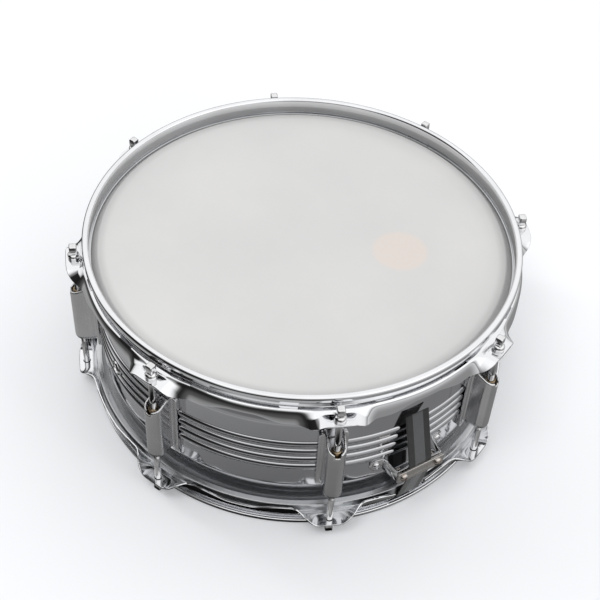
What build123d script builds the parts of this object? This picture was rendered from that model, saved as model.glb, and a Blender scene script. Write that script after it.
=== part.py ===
from build123d import *
import math
import os

# Snare drum, 14 inches across and 5.5 inches deep, with a beaded steel shell.
# The origin is on the drum's axis, in the plane that the lower rim stands on, and +Z is up.
# +X points to the butt plate, -X to the throw-off and -Y to the vent hole.

os.makedirs("parts", exist_ok=True)

# ---- The drum as a whole ----
drum_height = 164.5  # lower rim to upper rim
mid_height = drum_height / 2
lug_count = 8
first_lug_angle = 22.5
lug_angles = [first_lug_angle + 360 / lug_count * k for k in range(lug_count)]
mid_plane = Plane.XY.offset(mid_height)

# ---- Shell ----
shell_depth = 139.7  # bearing edge to bearing edge
shell_radius = 177.0
band_radius = 175.0  # the stepped-in band beside each bearing edge
shell_wall = 1.2
shell_top = mid_height + shell_depth / 2
shell_bottom = mid_height - shell_depth / 2
band_end = 39.25  # half height at which the step down to the band starts
band_start = 49.25
bead_heights = [-14.7, -4.9, 4.9, 14.7]  # from the middle of the shell
bead_rise = 1.6
bead_width = 6.6
edge_bend = 2.4  # outer radius of the bearing edge
edge_flange = 5.0  # turned-in flange behind the bearing edge
vent_angle = -90
vent_hole_radius = 4.2
vent_tube_radius = 5.2
vent_flange_radius = 7.0
vent_flange = 1.2
vent_inner = 174.4
vent_outer = 180.0
screw_clearance = 2.3

# ---- Hoops ----
hoop_steel = 1.8
hoop_inner_radius = 180.3
rim_radius = 186.0
rim_corner = 2.1
rim_lip = 5.0  # how far the rolled lip comes down
seat_top = 151.0  # flange that presses on the head
seat_radius = 187.3
skirt_radius = 187.1  # middle of the steel
skirt_bottom = 143.0
ear_top = 148.8
ear_reach = 200.5
ear_hole = 3.4
ear_flat_angle = 2.5  # half width of the level part of an ear
ear_flare_angle = 10.0  # where the flare has become the skirt
flank_bottom = 137.5  # the skirt hangs deeper on both flanks of an ear
flank_angle = 12.0  # where the deep flank ends
shallow_angle = 20.0  # where the skirt is back at its shallow depth
gate_width = 30.0
gate_top = 26.0

# ---- Heads ----
batter_film = 0.3
snare_film = 0.2
ring_inner_radius = 179.2
ring_outer_radius = 184.5
ring_height = 9.4

# ---- Tension rods, washers and nuts ----
rod_circle = 193.5
rod_radius = 2.8
rod_end = 97.0
collar_radius = 5.0
collar_height = 3.2
key_head = 6.35
key_top = 161.8
washer_radius = 5.0
washer_hole = 3.15
washer_thickness = 1.4
nut_bore = rod_radius + 0.05
nut_neck_radius = 4.2
nut_neck_top = 111.5
nut_shoulder_radius = 5.0
nut_shoulder_top = 103.0
nut_shoulder_height = 6.0

# ---- Lugs ----
barrel_radius = 7.8
barrel_centre = 192.8
barrel_bottom = 51.5
barrel_wall = 1.9
barrel_nose = 5.5  # rounding of the closed lower end
mouth_front = 110.5  # height of the mouth's lip at the front
mouth_back = 117.5  # and where it reaches the shell side
mouth_back_radius = 185.0
lug_foot_width = 24.0
lug_foot_height = 68.5
lug_foot_radius = 181.0
lug_web_half = 10.8  # half height of the solid web between the two nut chambers
lug_screw_offset = 9.8
lug_screw_radius = 1.9
lug_screw_tip = 188.0
lug_back = 176.0
bead_relief = 179.0
notch_width = 4.6
notch_depth = 2.8

# ---- Straps and their clamps ----
strap_width = 22.0
strap_thickness = 1.2
strap_bend = 3.0
clamp_length = 45.0
clamp_height = 12.0
clamp_plate_thickness = 2.0
clamp_screw_spacing = 33.5
clamp_screw_radius = 1.9
clamp_head_radius = 3.6
clamp_head_height = 2.3
strap_end_height = 8.3
strap_run_height = 11.2
strap_corner = 185.2
clamp_entry_height = 49.5
tail_radius = 180.0
tail_top = 113.0
throwoff_tail_top = 77.0
inner_washer_radius = 4.6
inner_washer_thickness = 1.0

# ---- Butt plate ----
butt_height = 57.8
butt_face = 193.4  # front face of the bracket
bracket_steel = 1.6
bracket_height = 12.4
bracket_half_length = 21.0
bracket_foot_angle = 7.6
butt_screw_angle = 9.75

# ---- Snare wires ----
wire_count = 20
wire_pitch = 2.2
wire_radius = 0.9
wire_height = 11.0
wire_half_length = 154.0
end_plate_inner = 147.0
end_plate_outer = 163.0
end_plate_thickness = 0.8

# ---- Throw-off ----
base_screw_angle = 5.9
base_screw_heights = (57.5, 106.5)
rail_gap = 13.0  # half the width between the two rails
rail_thickness = 4.0
rail_face = 193.0
base_bottom = 52.0
base_top = 112.0
base_half_width = 21.0
slide_clearance = 0.35
rail_foot = 181.0
carriage_bottom = 58.0
carriage_top = 92.0
carriage_face = 191.5
block_back = 193.4
block_face = 195.3
block_travel = 1.2
tongue_back = 183.5
tongue_half_width = 6.0
tongue_bottom = 62.0
tongue_top = 84.0
spindle_axis = 188.0
spindle_radius = 2.0
knob_radius = 6.6
knob_bottom = 110.0
knob_top = 122.0
knob_flutes = 18
pivot_axis = 187.0
pivot_height = 96.0
pivot_radius = 2.2
lever_cheek = 2.0
lever_cheek_inner = rail_gap + rail_thickness + 0.4
lever_face = 202.0
lever_bottom = 102.0
lever_top = 130.0
lever_back = 183.0


def radial_plane(angle):
    """The plane through the drum's axis at this angle: x outwards, y up."""
    turn = math.radians(angle)
    outwards = (math.cos(turn), math.sin(turn), 0)
    across = (math.sin(turn), -math.cos(turn), 0)
    return Plane(origin=(0, 0, 0), x_dir=outwards, z_dir=across)


def facing_plane(angle, distance, height):
    """A plane facing away from the drum's axis: x sideways, y up."""
    turn = math.radians(angle)
    outwards = (math.cos(turn), math.sin(turn), 0)
    origin = (distance * outwards[0], distance * outwards[1], height)
    return Plane(origin=origin, x_dir=(-outwards[1], outwards[0], 0), z_dir=outwards)


def save(part, name):
    part.label = name
    export_step(part, f"parts/{name}.step")


# ---- Shell: one skin with four beads, a stepped band and a folded bearing edge at each end ----
def wall_line(inset):
    """The shell's side from the lower band to the upper band, moved inwards by inset."""
    main = shell_radius - inset
    band = band_radius - inset
    corners = [(band, mid_height - band_start), (main, mid_height - band_end)]
    Polyline((band, shell_bottom + edge_bend), *corners)
    last = corners[-1]
    for height in bead_heights:
        low = (main, mid_height + height - bead_width / 2)
        crest = (main + bead_rise, mid_height + height)
        high = (main, mid_height + height + bead_width / 2)
        Line(last, low)
        ThreePointArc(low, crest, high)
        last = high
    corners = [(main, mid_height + band_end), (band, mid_height + band_start)]
    Polyline(last, *corners, (band, shell_top - edge_bend))


def edge_line(edge, side):
    """The folded bearing edge: over the crest, down the turned-in flange and back."""
    centre_x = band_radius - edge_bend
    centre_y = edge - side * edge_bend
    inner_bend = edge_bend - shell_wall

    def at(radius, angle, run=0.0):
        along = math.radians(angle)
        x = centre_x + radius * math.cos(along) - run * math.sqrt(0.5)
        y = centre_y + side * (radius * math.sin(along) - run * math.sqrt(0.5))
        return (x, y)

    ThreePointArc(at(edge_bend, 0), at(edge_bend, 60), at(edge_bend, 135))
    flange = [at(edge_bend, 135, edge_flange), at(inner_bend, 135, edge_flange)]
    Polyline(at(edge_bend, 135), *flange, at(inner_bend, 135))
    ThreePointArc(at(inner_bend, 135), at(inner_bend, 60), at(inner_bend, 0))


def radial_holes(holes):
    """Cut round holes through a wall, each given as an angle, a height and a radius."""
    for angle, height, radius in holes:
        with BuildSketch(facing_plane(angle, 160, height)) as hole:
            Circle(radius)
        extrude(hole.sketch, amount=60, mode=Mode.SUBTRACT)


shell_holes = [(vent_angle, mid_height, vent_tube_radius + 0.2)]
for angle in lug_angles:
    for rise in (-lug_screw_offset, lug_screw_offset):
        shell_holes.append((angle, mid_height + rise, screw_clearance))
for angle in (-butt_screw_angle, butt_screw_angle):
    shell_holes.append((angle, butt_height, screw_clearance))
for angle in (180 - base_screw_angle, 180 + base_screw_angle):
    for height in base_screw_heights:
        shell_holes.append((angle, height, screw_clearance))

with BuildPart() as shell:
    with BuildSketch(Plane.XZ):
        with BuildLine():
            wall_line(0)
            edge_line(shell_top, 1)
            wall_line(shell_wall)
            edge_line(shell_bottom, -1)
        make_face()
    revolve(axis=Axis.Z)
    radial_holes(shell_holes)
save(shell.part, "shell")


# ---- Vent grommet: an eyelet pressed through the front of the shell ----
with BuildPart() as vent_grommet:
    with BuildSketch(facing_plane(vent_angle, vent_inner, mid_height)):
        Circle(vent_tube_radius)
    extrude(amount=vent_outer - vent_inner)
    for start in (vent_inner, vent_outer - vent_flange):
        with BuildSketch(facing_plane(vent_angle, start, mid_height)):
            Circle(vent_flange_radius)
        extrude(amount=vent_flange)
    with BuildSketch(facing_plane(vent_angle, vent_inner, mid_height)):
        Circle(vent_hole_radius)
    extrude(amount=vent_outer - vent_inner, mode=Mode.SUBTRACT)
save(vent_grommet.part, "vent_grommet")


# ---- Hoops: a rolled rim, an upright wall, a seat on the head's ring and a flared skirt ----
def smooth_share(angle, start, end):
    """0 up to the start angle from an ear, 1 from the end angle on, smooth between them."""
    share = (abs(angle) - start) / (end - start)
    share = min(max(share, 0.0), 1.0)
    return share * share * (3 - 2 * share)


def skirt_outline(angle):
    """The skirt's outline in the radial plane at this angle from an ear."""
    turned = smooth_share(angle, ear_flat_angle, ear_flare_angle)
    bottom = flank_bottom + (skirt_bottom - flank_bottom) * smooth_share(angle, flank_angle, shallow_angle)
    root = Vector(seat_radius - hoop_steel, seat_top - hoop_steel / 2)
    level_knee = Vector(seat_radius + 0.5, ear_top - hoop_steel / 2)
    upright_knee = Vector(skirt_radius, seat_top - hoop_steel)
    knee = level_knee + (upright_knee - level_knee) * turned
    level_run = ear_reach - level_knee.X
    upright_run = upright_knee.Y - bottom
    run = level_run + (upright_run - level_run) * turned
    drop = math.radians(90 * turned)
    tip = knee + Vector(math.cos(drop), -math.sin(drop)) * run
    first = (knee - root).normalized()
    second = (tip - knee).normalized()
    half = hoop_steel / 2
    root_side = Vector(-first.Y, first.X) * half
    tip_side = Vector(-second.Y, second.X) * half
    middle = (root_side + tip_side).normalized()
    knee_side = middle * (half / middle.dot(root_side.normalized()))
    upper = [root + root_side, knee + knee_side, tip + tip_side]
    lower = [tip - tip_side, knee - knee_side, root - root_side]
    return [(point.X, point.Y) for point in upper + lower]


flare_angles = [0, 2.5, 4, 5.5, 7, 8.5, 10, 13, 16, 19, 22.5]
wing_angles = [-angle for angle in flare_angles[:0:-1]] + flare_angles

with BuildPart() as ear_wing:
    for angle in wing_angles:
        with BuildSketch(radial_plane(angle)):
            Polygon(*skirt_outline(angle), align=None)
    loft(ruled=True)
    with BuildSketch(Plane.XY.offset(ear_top - 10)):
        with Locations((rod_circle, 0)):
            Circle(ear_hole)
    extrude(amount=20, mode=Mode.SUBTRACT)

with BuildPart() as batter_hoop:
    with BuildSketch(Plane.XZ):
        with BuildLine():
            corner_low = drum_height - rim_corner
            rim_inside = hoop_inner_radius + hoop_steel
            Line((hoop_inner_radius, seat_top - hoop_steel), (hoop_inner_radius, corner_low))
            RadiusArc(
                (hoop_inner_radius, corner_low),
                (hoop_inner_radius + rim_corner, drum_height),
                rim_corner,
            )
            Line((hoop_inner_radius + rim_corner, drum_height), (rim_radius - rim_corner, drum_height))
            RadiusArc(
                (rim_radius - rim_corner, drum_height),
                (rim_radius, corner_low),
                rim_corner,
            )
            Polyline(
                (rim_radius, corner_low),
                (rim_radius, drum_height - rim_lip),
                (rim_radius - hoop_steel, drum_height - rim_lip),
                (rim_radius - hoop_steel, drum_height - hoop_steel),
                (rim_inside, drum_height - hoop_steel),
                (rim_inside, seat_top),
                (seat_radius, seat_top),
                (seat_radius, seat_top - hoop_steel),
                (hoop_inner_radius, seat_top - hoop_steel),
            )
        make_face()
    revolve(axis=Axis.Z)
    for angle in lug_angles:
        add(ear_wing.part.rotate(Axis.Z, angle))
save(batter_hoop.part, "batter_hoop")

with BuildPart() as snare_side_hoop:
    mirror(batter_hoop.part, about=mid_plane)
    for side in (-1, 1):
        with Locations((side * hoop_inner_radius, 0, (rim_lip + gate_top) / 2)):
            Box(24, gate_width, gate_top - rim_lip, mode=Mode.SUBTRACT)
save(snare_side_hoop.part, "snare_side_hoop")


# ---- Heads: a thin film drawn over the bearing edge and held in a metal ring ----
def head_film(thickness):
    """The upper film: a flat disc, round the bearing edge and down to the ring."""
    centre_x = band_radius - edge_bend
    centre_y = shell_top - edge_bend

    def at(radius, angle):
        along = math.radians(angle)
        return (centre_x + radius * math.cos(along), centre_y + radius * math.sin(along))

    outer_bend = edge_bend + thickness
    start = at(edge_bend, 45)
    run = ring_inner_radius - start[0]
    drop = thickness * math.sqrt(2)
    with BuildPart() as drawn:
        with BuildSketch(Plane.XZ):
            with BuildLine():
                Line((0, shell_top), (centre_x, shell_top))
                ThreePointArc((centre_x, shell_top), at(edge_bend, 67), start)
                Line(start, (ring_inner_radius, start[1] - run))
                end = (ring_inner_radius, start[1] - run + drop)
                Line((ring_inner_radius, start[1] - run), end)
                Line(end, at(outer_bend, 45))
                ThreePointArc(at(outer_bend, 45), at(outer_bend, 67), at(outer_bend, 90))
                Line(at(outer_bend, 90), (0, shell_top + thickness))
                Line((0, shell_top + thickness), (0, shell_top))
            make_face()
        revolve(axis=Axis.Z)
    return drawn.part


with BuildPart() as batter_head_film:
    add(head_film(batter_film))
save(batter_head_film.part, "batter_head_film")

with BuildPart() as snare_head_film:
    mirror(head_film(snare_film), about=mid_plane)
save(snare_head_film.part, "snare_head_film")

with BuildPart() as batter_head_ring:
    ring_top = seat_top - hoop_steel
    with BuildSketch(Plane.XY.offset(ring_top - ring_height)):
        Circle(ring_outer_radius)
        Circle(ring_inner_radius, mode=Mode.SUBTRACT)
    extrude(amount=ring_height)
    chamfer(batter_head_ring.edges().filter_by(GeomType.CIRCLE), length=0.6)
save(batter_head_ring.part, "batter_head_ring")

with BuildPart() as snare_head_ring:
    mirror(batter_head_ring.part, about=mid_plane)
save(snare_head_ring.part, "snare_head_ring")


# ---- Lugs: hollow castings with an open mouth above and a closed round nose below ----
def barrel_outline(radius):
    """Half-round at the front with straight sides back to the shell."""
    with Locations((barrel_centre, 0)):
        Circle(radius)
    with Locations(((lug_back + barrel_centre) / 2, 0)):
        Rectangle(barrel_centre - lug_back, 2 * radius)


with BuildPart() as lug:
    with BuildSketch(Plane.XY.offset(barrel_bottom)):
        barrel_outline(barrel_radius)
    extrude(amount=mouth_back - barrel_bottom)
    nose = lug.faces().sort_by(Axis.Z)[0].edges().filter_by(GeomType.CIRCLE)
    fillet(nose, radius=barrel_nose)
    with BuildSketch(facing_plane(0, lug_back, mid_height)):
        RectangleRounded(lug_foot_width, lug_foot_height, 4)
    extrude(amount=lug_foot_radius - lug_back)
    with BuildSketch(Plane.XZ):
        with BuildLine():
            rise = (mouth_back - mouth_front) / (ear_reach - mouth_back_radius)
            Polyline(
                (ear_reach + 4, mouth_front - 4 * rise),
                (ear_reach + 4, mouth_back + 10),
                (mouth_back_radius, mouth_back + 10),
                (mouth_back_radius, mouth_back),
                close=True,
            )
        make_face()
    extrude(amount=barrel_radius + 2, both=True, mode=Mode.SUBTRACT)
    chamber = barrel_radius - barrel_wall
    for low, high in (
        (mid_height + lug_web_half, nut_shoulder_top),
        (nut_shoulder_top + 2, mouth_back + 8),
        (drum_height - nut_shoulder_top, mid_height - lug_web_half),
    ):
        with BuildSketch(Plane.XY.offset(low)):
            barrel_outline(chamber)
        extrude(amount=high - low, mode=Mode.SUBTRACT)
    with BuildSketch(Plane.XY.offset(mid_height + lug_web_half)):
        with Locations((rod_circle, 0)):
            Circle(nut_neck_radius + 0.2)
    extrude(amount=30, mode=Mode.SUBTRACT)
    with BuildSketch(Plane.XY.offset(barrel_bottom - 1)):
        with Locations((rod_circle, 0)):
            Circle(rod_radius + 0.4)
    extrude(amount=20, mode=Mode.SUBTRACT)
    with Locations((ear_reach - 1, 0, mouth_front)):
        Box(6, notch_width, 2 * notch_depth, mode=Mode.SUBTRACT)
    with BuildSketch(Plane.XY):
        Circle(shell_radius + 0.02)
    extrude(amount=drum_height, mode=Mode.SUBTRACT)
    with BuildSketch(mid_plane):
        Circle(bead_relief)
    extrude(amount=bead_heights[-1] + bead_width / 2 + 0.5, both=True, mode=Mode.SUBTRACT)
    for rise in (-lug_screw_offset, lug_screw_offset):
        with BuildSketch(facing_plane(0, lug_back, mid_height + rise)):
            Circle(lug_screw_radius)
        extrude(amount=lug_screw_tip - lug_back, mode=Mode.SUBTRACT)

for number, angle in enumerate(lug_angles, start=1):
    with BuildPart() as lug_casting:
        add(lug.part.rotate(Axis.Z, angle))
    save(lug_casting.part, f"lug_casting_{number}")


# ---- Swivel nuts: brass, a shoulder held in the lug and a neck up the mouth ----
with BuildPart() as swivel_nut:
    with BuildSketch(Plane.XY.offset(nut_shoulder_top - nut_shoulder_height)):
        with Locations((rod_circle, 0)):
            RegularPolygon(nut_shoulder_radius, 6)
    extrude(amount=nut_shoulder_height)
    with BuildSketch(Plane.XY.offset(nut_shoulder_top)):
        with Locations((rod_circle, 0)):
            Circle(nut_neck_radius)
    extrude(amount=nut_neck_top - nut_shoulder_top)
    with BuildSketch(Plane.XY.offset(nut_shoulder_top - 2 * nut_shoulder_height)):
        with Locations((rod_circle, 0)):
            Circle(nut_bore)
    extrude(amount=40, mode=Mode.SUBTRACT)

with BuildPart() as lower_nut:
    mirror(swivel_nut.part, about=mid_plane)
    with Locations((rod_circle, 0, drum_height - nut_neck_top)):
        Box(20, 20, 2 * (nut_neck_top - nut_shoulder_top), mode=Mode.SUBTRACT)

with BuildPart() as lug_swivel_nuts:
    for angle in lug_angles:
        add(swivel_nut.part.rotate(Axis.Z, angle))
        add(lower_nut.part.rotate(Axis.Z, angle))
save(lug_swivel_nuts.part, "lug_swivel_nuts")


# ---- Tension rods: a square key head on a round collar, each with a washer on its ear ----
rod_shoulder = ear_top + washer_thickness
with BuildPart() as rod:
    with BuildSketch(Plane.XY.offset(rod_end)):
        with Locations((rod_circle, 0)):
            Circle(rod_radius)
    extrude(amount=rod_shoulder - rod_end)
    with BuildSketch(Plane.XY.offset(rod_shoulder)):
        with Locations((rod_circle, 0)):
            Circle(collar_radius)
    extrude(amount=collar_height)
    chamfer(rod.faces().filter_by(Plane.XY).sort_by(Axis.Z)[-1].edges(), length=0.8)
    with BuildSketch(Plane.XY.offset(rod_shoulder + collar_height)):
        with Locations((rod_circle, 0)):
            Rectangle(key_head, key_head)
    extrude(amount=key_top - rod_shoulder - collar_height)
    chamfer(rod.faces().sort_by(Axis.Z)[-1].edges(), length=0.7)

with BuildPart() as lower_rod:
    mirror(rod.part, about=mid_plane)

for number, angle in enumerate(lug_angles, start=1):
    with BuildPart() as batter_rod:
        add(rod.part.rotate(Axis.Z, angle))
    save(batter_rod.part, f"tension_rod_batter_{number}")
    with BuildPart() as snare_rod:
        add(lower_rod.part.rotate(Axis.Z, angle))
    save(snare_rod.part, f"tension_rod_snare_{number}")

with BuildPart() as rod_washers:
    for low in (ear_top, drum_height - ear_top - washer_thickness):
        with BuildSketch(Plane.XY.offset(low)):
            with PolarLocations(rod_circle, lug_count, start_angle=first_lug_angle):
                Circle(washer_radius)
                Circle(washer_hole, mode=Mode.SUBTRACT)
        extrude(amount=washer_thickness)
save(rod_washers.part, "rod_washers")


# ---- Screws: a pan head with a cross recess on a round shank ----
def pan_screw(plane, head_radius, head_height, shank_radius, shank_length):
    """A screw whose head stands on the plane and whose shank goes back through it."""
    with BuildPart() as screw:
        with BuildSketch(plane):
            Circle(head_radius)
        extrude(amount=head_height, taper=18)
        with BuildSketch(plane.offset(head_height)):
            Rectangle(head_radius * 1.1, 0.9)
            Rectangle(0.9, head_radius * 1.1)
        extrude(amount=-head_height * 0.5, mode=Mode.SUBTRACT)
        with BuildSketch(plane):
            Circle(shank_radius)
        extrude(amount=-shank_length)
    return screw.part


def inward_plane(angle, distance, height):
    """A plane facing the drum's axis."""
    outwards = facing_plane(angle, distance, height)
    return Plane(origin=outwards.origin, x_dir=outwards.x_dir, z_dir=-outwards.z_dir)


screw_seat = shell_radius - shell_wall - 1.1
with BuildPart() as lug_mounting_screws:
    for angle in lug_angles:
        for rise in (-lug_screw_offset, lug_screw_offset):
            plane = inward_plane(angle, screw_seat, mid_height + rise)
            shank = lug_screw_tip - screw_seat - 2
            add(pan_screw(plane, clamp_head_radius, clamp_head_height, lug_screw_radius, shank))
save(lug_mounting_screws.part, "lug_mounting_screws")

with BuildPart() as lug_screw_washers:
    for angle in lug_angles:
        for rise in (-lug_screw_offset, lug_screw_offset):
            with BuildSketch(facing_plane(angle, screw_seat, mid_height + rise)):
                Circle(inner_washer_radius)
                Circle(lug_screw_radius + 0.2, mode=Mode.SUBTRACT)
            extrude(amount=inner_washer_thickness)
save(lug_screw_washers.part, "lug_screw_washers")


# ---- Butt plate: a bent bracket, a clamp plate and the strap between them ----
def against_shell(outer_radius, low, high, half_angle):
    """A curved pad lying on the shell about +X, between two heights."""
    with BuildPart() as pad:
        with BuildSketch(Plane.XY.offset(low)):
            with BuildLine():
                turn = math.radians(half_angle)
                near = [(shell_radius + 0.02) * math.cos(turn), (shell_radius + 0.02) * math.sin(turn)]
                far = [outer_radius * math.cos(turn), outer_radius * math.sin(turn)]
                ThreePointArc((near[0], -near[1]), (shell_radius + 0.02, 0), (near[0], near[1]))
                Line((near[0], near[1]), (far[0], far[1]))
                ThreePointArc((far[0], far[1]), (outer_radius, 0), (far[0], -far[1]))
                Line((far[0], -far[1]), (near[0], -near[1]))
            make_face()
        extrude(amount=high - low)
    return pad.part


butt_low = butt_height - bracket_height / 2
butt_high = butt_height + bracket_height / 2
butt_back = butt_face - bracket_steel
foot_turn = math.radians(bracket_foot_angle)
with BuildPart() as butt_bracket:
    foot_end = butt_screw_angle + math.degrees(bracket_height / 2 / shell_radius)
    add(against_shell(shell_radius + bracket_steel, butt_low, butt_high, foot_end))
    with BuildSketch(facing_plane(0, shell_radius - 20, butt_height)):
        half_span = shell_radius * math.sin(math.radians(foot_end))
        RectangleRounded(2 * half_span, bracket_height, bracket_height / 2 - 0.1)
    extrude(amount=40, mode=Mode.INTERSECT)
    with BuildSketch(Plane.XY.offset(butt_low)):
        foot_reach = shell_radius * math.sin(foot_turn)
        foot_depth = (shell_radius + 0.6) * math.cos(foot_turn)
        Polygon(
            (foot_depth, -foot_reach - bracket_steel),
            (butt_face, -bracket_half_length - 0.6),
            (butt_face, bracket_half_length + 0.6),
            (foot_depth, foot_reach + bracket_steel),
            align=None,
        )
    extrude(amount=bracket_height)
    with BuildSketch(Plane.XY.offset(butt_low)):
        Polygon(
            (shell_radius - 5, -foot_reach),
            (butt_back, -bracket_half_length + 0.4),
            (butt_back, bracket_half_length - 0.4),
            (shell_radius - 5, foot_reach),
            align=None,
        )
    extrude(amount=bracket_height, mode=Mode.SUBTRACT)
    with BuildSketch(Plane.XY.offset(butt_low - 1)):
        Circle(shell_radius + 0.02)
    extrude(amount=bracket_height + 2, mode=Mode.SUBTRACT)
    radial_holes([(side * butt_screw_angle, butt_height, clamp_screw_radius + 0.2) for side in (-1, 1)])
    with BuildSketch(facing_plane(0, butt_back - 5, butt_height)):
        with GridLocations(clamp_screw_spacing, 0, 2, 1):
            Circle(clamp_screw_radius)
    extrude(amount=20, mode=Mode.SUBTRACT)
save(butt_bracket.part, "butt_bracket")


def strap(face, top_points):
    """A flat strap about +X: under the end plate, over the rim, up the clamp's face to its tail."""
    middle = face + strap_thickness / 2 + 0.05
    points = [(end_plate_inner + 9, strap_end_height), (end_plate_outer + 3, strap_end_height)]
    points += [(174.5, strap_run_height), (strap_corner, strap_run_height)]
    points += [(middle, clamp_entry_height)] + top_points
    with BuildPart() as band:
        with BuildLine(Plane.XZ):
            route = FilletPolyline(*points, radius=strap_bend)
        with BuildSketch(Plane(origin=route @ 0, x_dir=(0, 1, 0), z_dir=route % 0)):
            Rectangle(strap_width, strap_thickness)
        sweep(path=route)
    return band.part


def clamp_plate(back):
    """The flat plate that grips the strap, with two screw holes."""
    with BuildPart() as plate:
        with BuildSketch(facing_plane(0, back, butt_height)):
            RectangleRounded(clamp_length, clamp_height, 1.2)
            with GridLocations(clamp_screw_spacing, 0, 2, 1):
                Circle(clamp_screw_radius + 0.2, mode=Mode.SUBTRACT)
        extrude(amount=clamp_plate_thickness)
    return plate.part


def clamp_screws(back, shank):
    """The two screws that pull the clamp plate onto the strap."""
    with BuildPart() as pair:
        for side in (-1, 1):
            plane = facing_plane(0, back + clamp_plate_thickness, butt_height)
            seat = Plane(
                origin=plane.from_local_coords((side * clamp_screw_spacing / 2, 0, 0)),
                x_dir=plane.x_dir,
                z_dir=plane.z_dir,
            )
            add(pan_screw(seat, clamp_head_radius, clamp_head_height, clamp_screw_radius, shank))
    return pair.part


strap_gap = strap_thickness + 0.1
with BuildPart() as butt_clamp_plate:
    add(clamp_plate(butt_face + strap_gap))
save(butt_clamp_plate.part, "butt_clamp_plate")

with BuildPart() as butt_clamp_screws:
    add(clamp_screws(butt_face + strap_gap, 8))
save(butt_clamp_screws.part, "butt_clamp_screws")

with BuildPart() as butt_mounting_screws:
    for side in (-1, 1):
        seat = facing_plane(side * butt_screw_angle, shell_radius + bracket_steel, butt_height)
        add(pan_screw(seat, clamp_head_radius, clamp_head_height, clamp_screw_radius, 7))
save(butt_mounting_screws.part, "butt_mounting_screws")

with BuildPart() as butt_strap:
    middle = butt_face + strap_thickness / 2 + 0.05
    add(strap(butt_face, [(middle, butt_high + 1), (tail_radius, tail_top)]))
save(butt_strap.part, "butt_strap")


# ---- Snare wires: a row of straight strands here, with a plate at each end ----
with BuildPart() as snare_wires:
    with BuildSketch(Plane.YZ.offset(-wire_half_length)):
        with Locations((0, wire_height)):
            with GridLocations(wire_pitch, 0, wire_count, 1):
                Circle(wire_radius)
    extrude(amount=2 * wire_half_length)
save(snare_wires.part, "snare_wires")

plate_top = wire_height - wire_radius
for side, name in ((1, "snare_end_plate_butt"), (-1, "snare_end_plate_throwoff")):
    with BuildPart() as end_plate:
        with BuildSketch(Plane.XY.offset(plate_top - end_plate_thickness)):
            with Locations((side * (end_plate_inner + end_plate_outer) / 2, 0)):
                Rectangle(end_plate_outer - end_plate_inner, wire_count * wire_pitch + 2)
            with Locations((side * (end_plate_outer - 3), 0)):
                SlotOverall(strap_width + 3, 2, rotation=90, mode=Mode.SUBTRACT)
        extrude(amount=end_plate_thickness)
    save(end_plate.part, name)


# ---- Throw-off: built about +X like the butt plate, then turned to -X ----
def save_turned(part, name):
    with BuildPart() as turned:
        add(part.rotate(Axis.Z, 180))
    save(turned.part, name)


with BuildPart() as throwoff_base:
    base_turn = math.degrees(base_half_width / shell_radius)
    add(against_shell(rail_foot, base_bottom, base_top, base_turn))
    for side in (-1, 1):
        with BuildSketch(Plane.XY.offset(base_bottom)):
            with Locations(((shell_radius + rail_face) / 2, side * (rail_gap + rail_thickness / 2))):
                Rectangle(rail_face - shell_radius, rail_thickness)
        extrude(amount=base_top - base_bottom)
    with BuildSketch(Plane.XY.offset(base_bottom - 1)):
        Circle(shell_radius + 0.02)
    extrude(amount=base_top - base_bottom + 2, mode=Mode.SUBTRACT)
    with BuildSketch(mid_plane):
        Circle(bead_relief)
    extrude(amount=bead_heights[-1] + bead_width / 2 + 0.5, both=True, mode=Mode.SUBTRACT)
    for height in base_screw_heights:
        radial_holes([(side * base_screw_angle, height, clamp_screw_radius) for side in (-1, 1)])
    with BuildSketch(Plane.XZ):
        with Locations((pivot_axis, pivot_height)):
            Circle(pivot_radius)
    extrude(amount=30, both=True, mode=Mode.SUBTRACT)
save_turned(throwoff_base.part, "throwoff_base")

with BuildPart() as throwoff_carriage:
    carriage_half = rail_gap - slide_clearance
    with BuildSketch(Plane.XY.offset(carriage_bottom)):
        with Locations(((rail_foot + slide_clearance + carriage_face) / 2, 0)):
            Rectangle(carriage_face - rail_foot - slide_clearance, 2 * carriage_half)
    extrude(amount=carriage_top - carriage_bottom)
    with BuildSketch(Plane.XY.offset(tongue_bottom - block_travel - 0.4)):
        with Locations((carriage_face, 0)):
            slot_depth = carriage_face - tongue_back + slide_clearance
            Rectangle(2 * slot_depth, 2 * (tongue_half_width + slide_clearance))
    extrude(amount=tongue_top - tongue_bottom + block_travel + 0.8, mode=Mode.SUBTRACT)
    with BuildSketch(Plane.XY.offset(tongue_top)):
        with Locations((spindle_axis, 0)):
            Circle(spindle_radius + 0.05)
    extrude(amount=20, mode=Mode.SUBTRACT)
save_turned(throwoff_carriage.part, "throwoff_carriage")

with BuildPart() as throwoff_clamp_block:
    with BuildSketch(Plane.XY.offset(tongue_bottom)):
        with Locations(((tongue_back + block_back) / 2, 0)):
            Rectangle(block_back - tongue_back, 2 * tongue_half_width)
    extrude(amount=tongue_top - tongue_bottom)
    with BuildSketch(facing_plane(0, block_back, butt_height)):
        RectangleRounded(clamp_length, bracket_height, 1.2)
    extrude(amount=block_face - block_back)
    with BuildSketch(Plane.XY.offset(tongue_bottom + 2)):
        with Locations((spindle_axis, 0)):
            Circle(spindle_radius + 0.05)
    extrude(amount=40, mode=Mode.SUBTRACT)
    with BuildSketch(facing_plane(0, block_back - 1, butt_height)):
        with GridLocations(clamp_screw_spacing, 0, 2, 1):
            Circle(clamp_screw_radius)
    extrude(amount=10, mode=Mode.SUBTRACT)
save_turned(throwoff_clamp_block.part, "throwoff_clamp_block")

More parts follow.
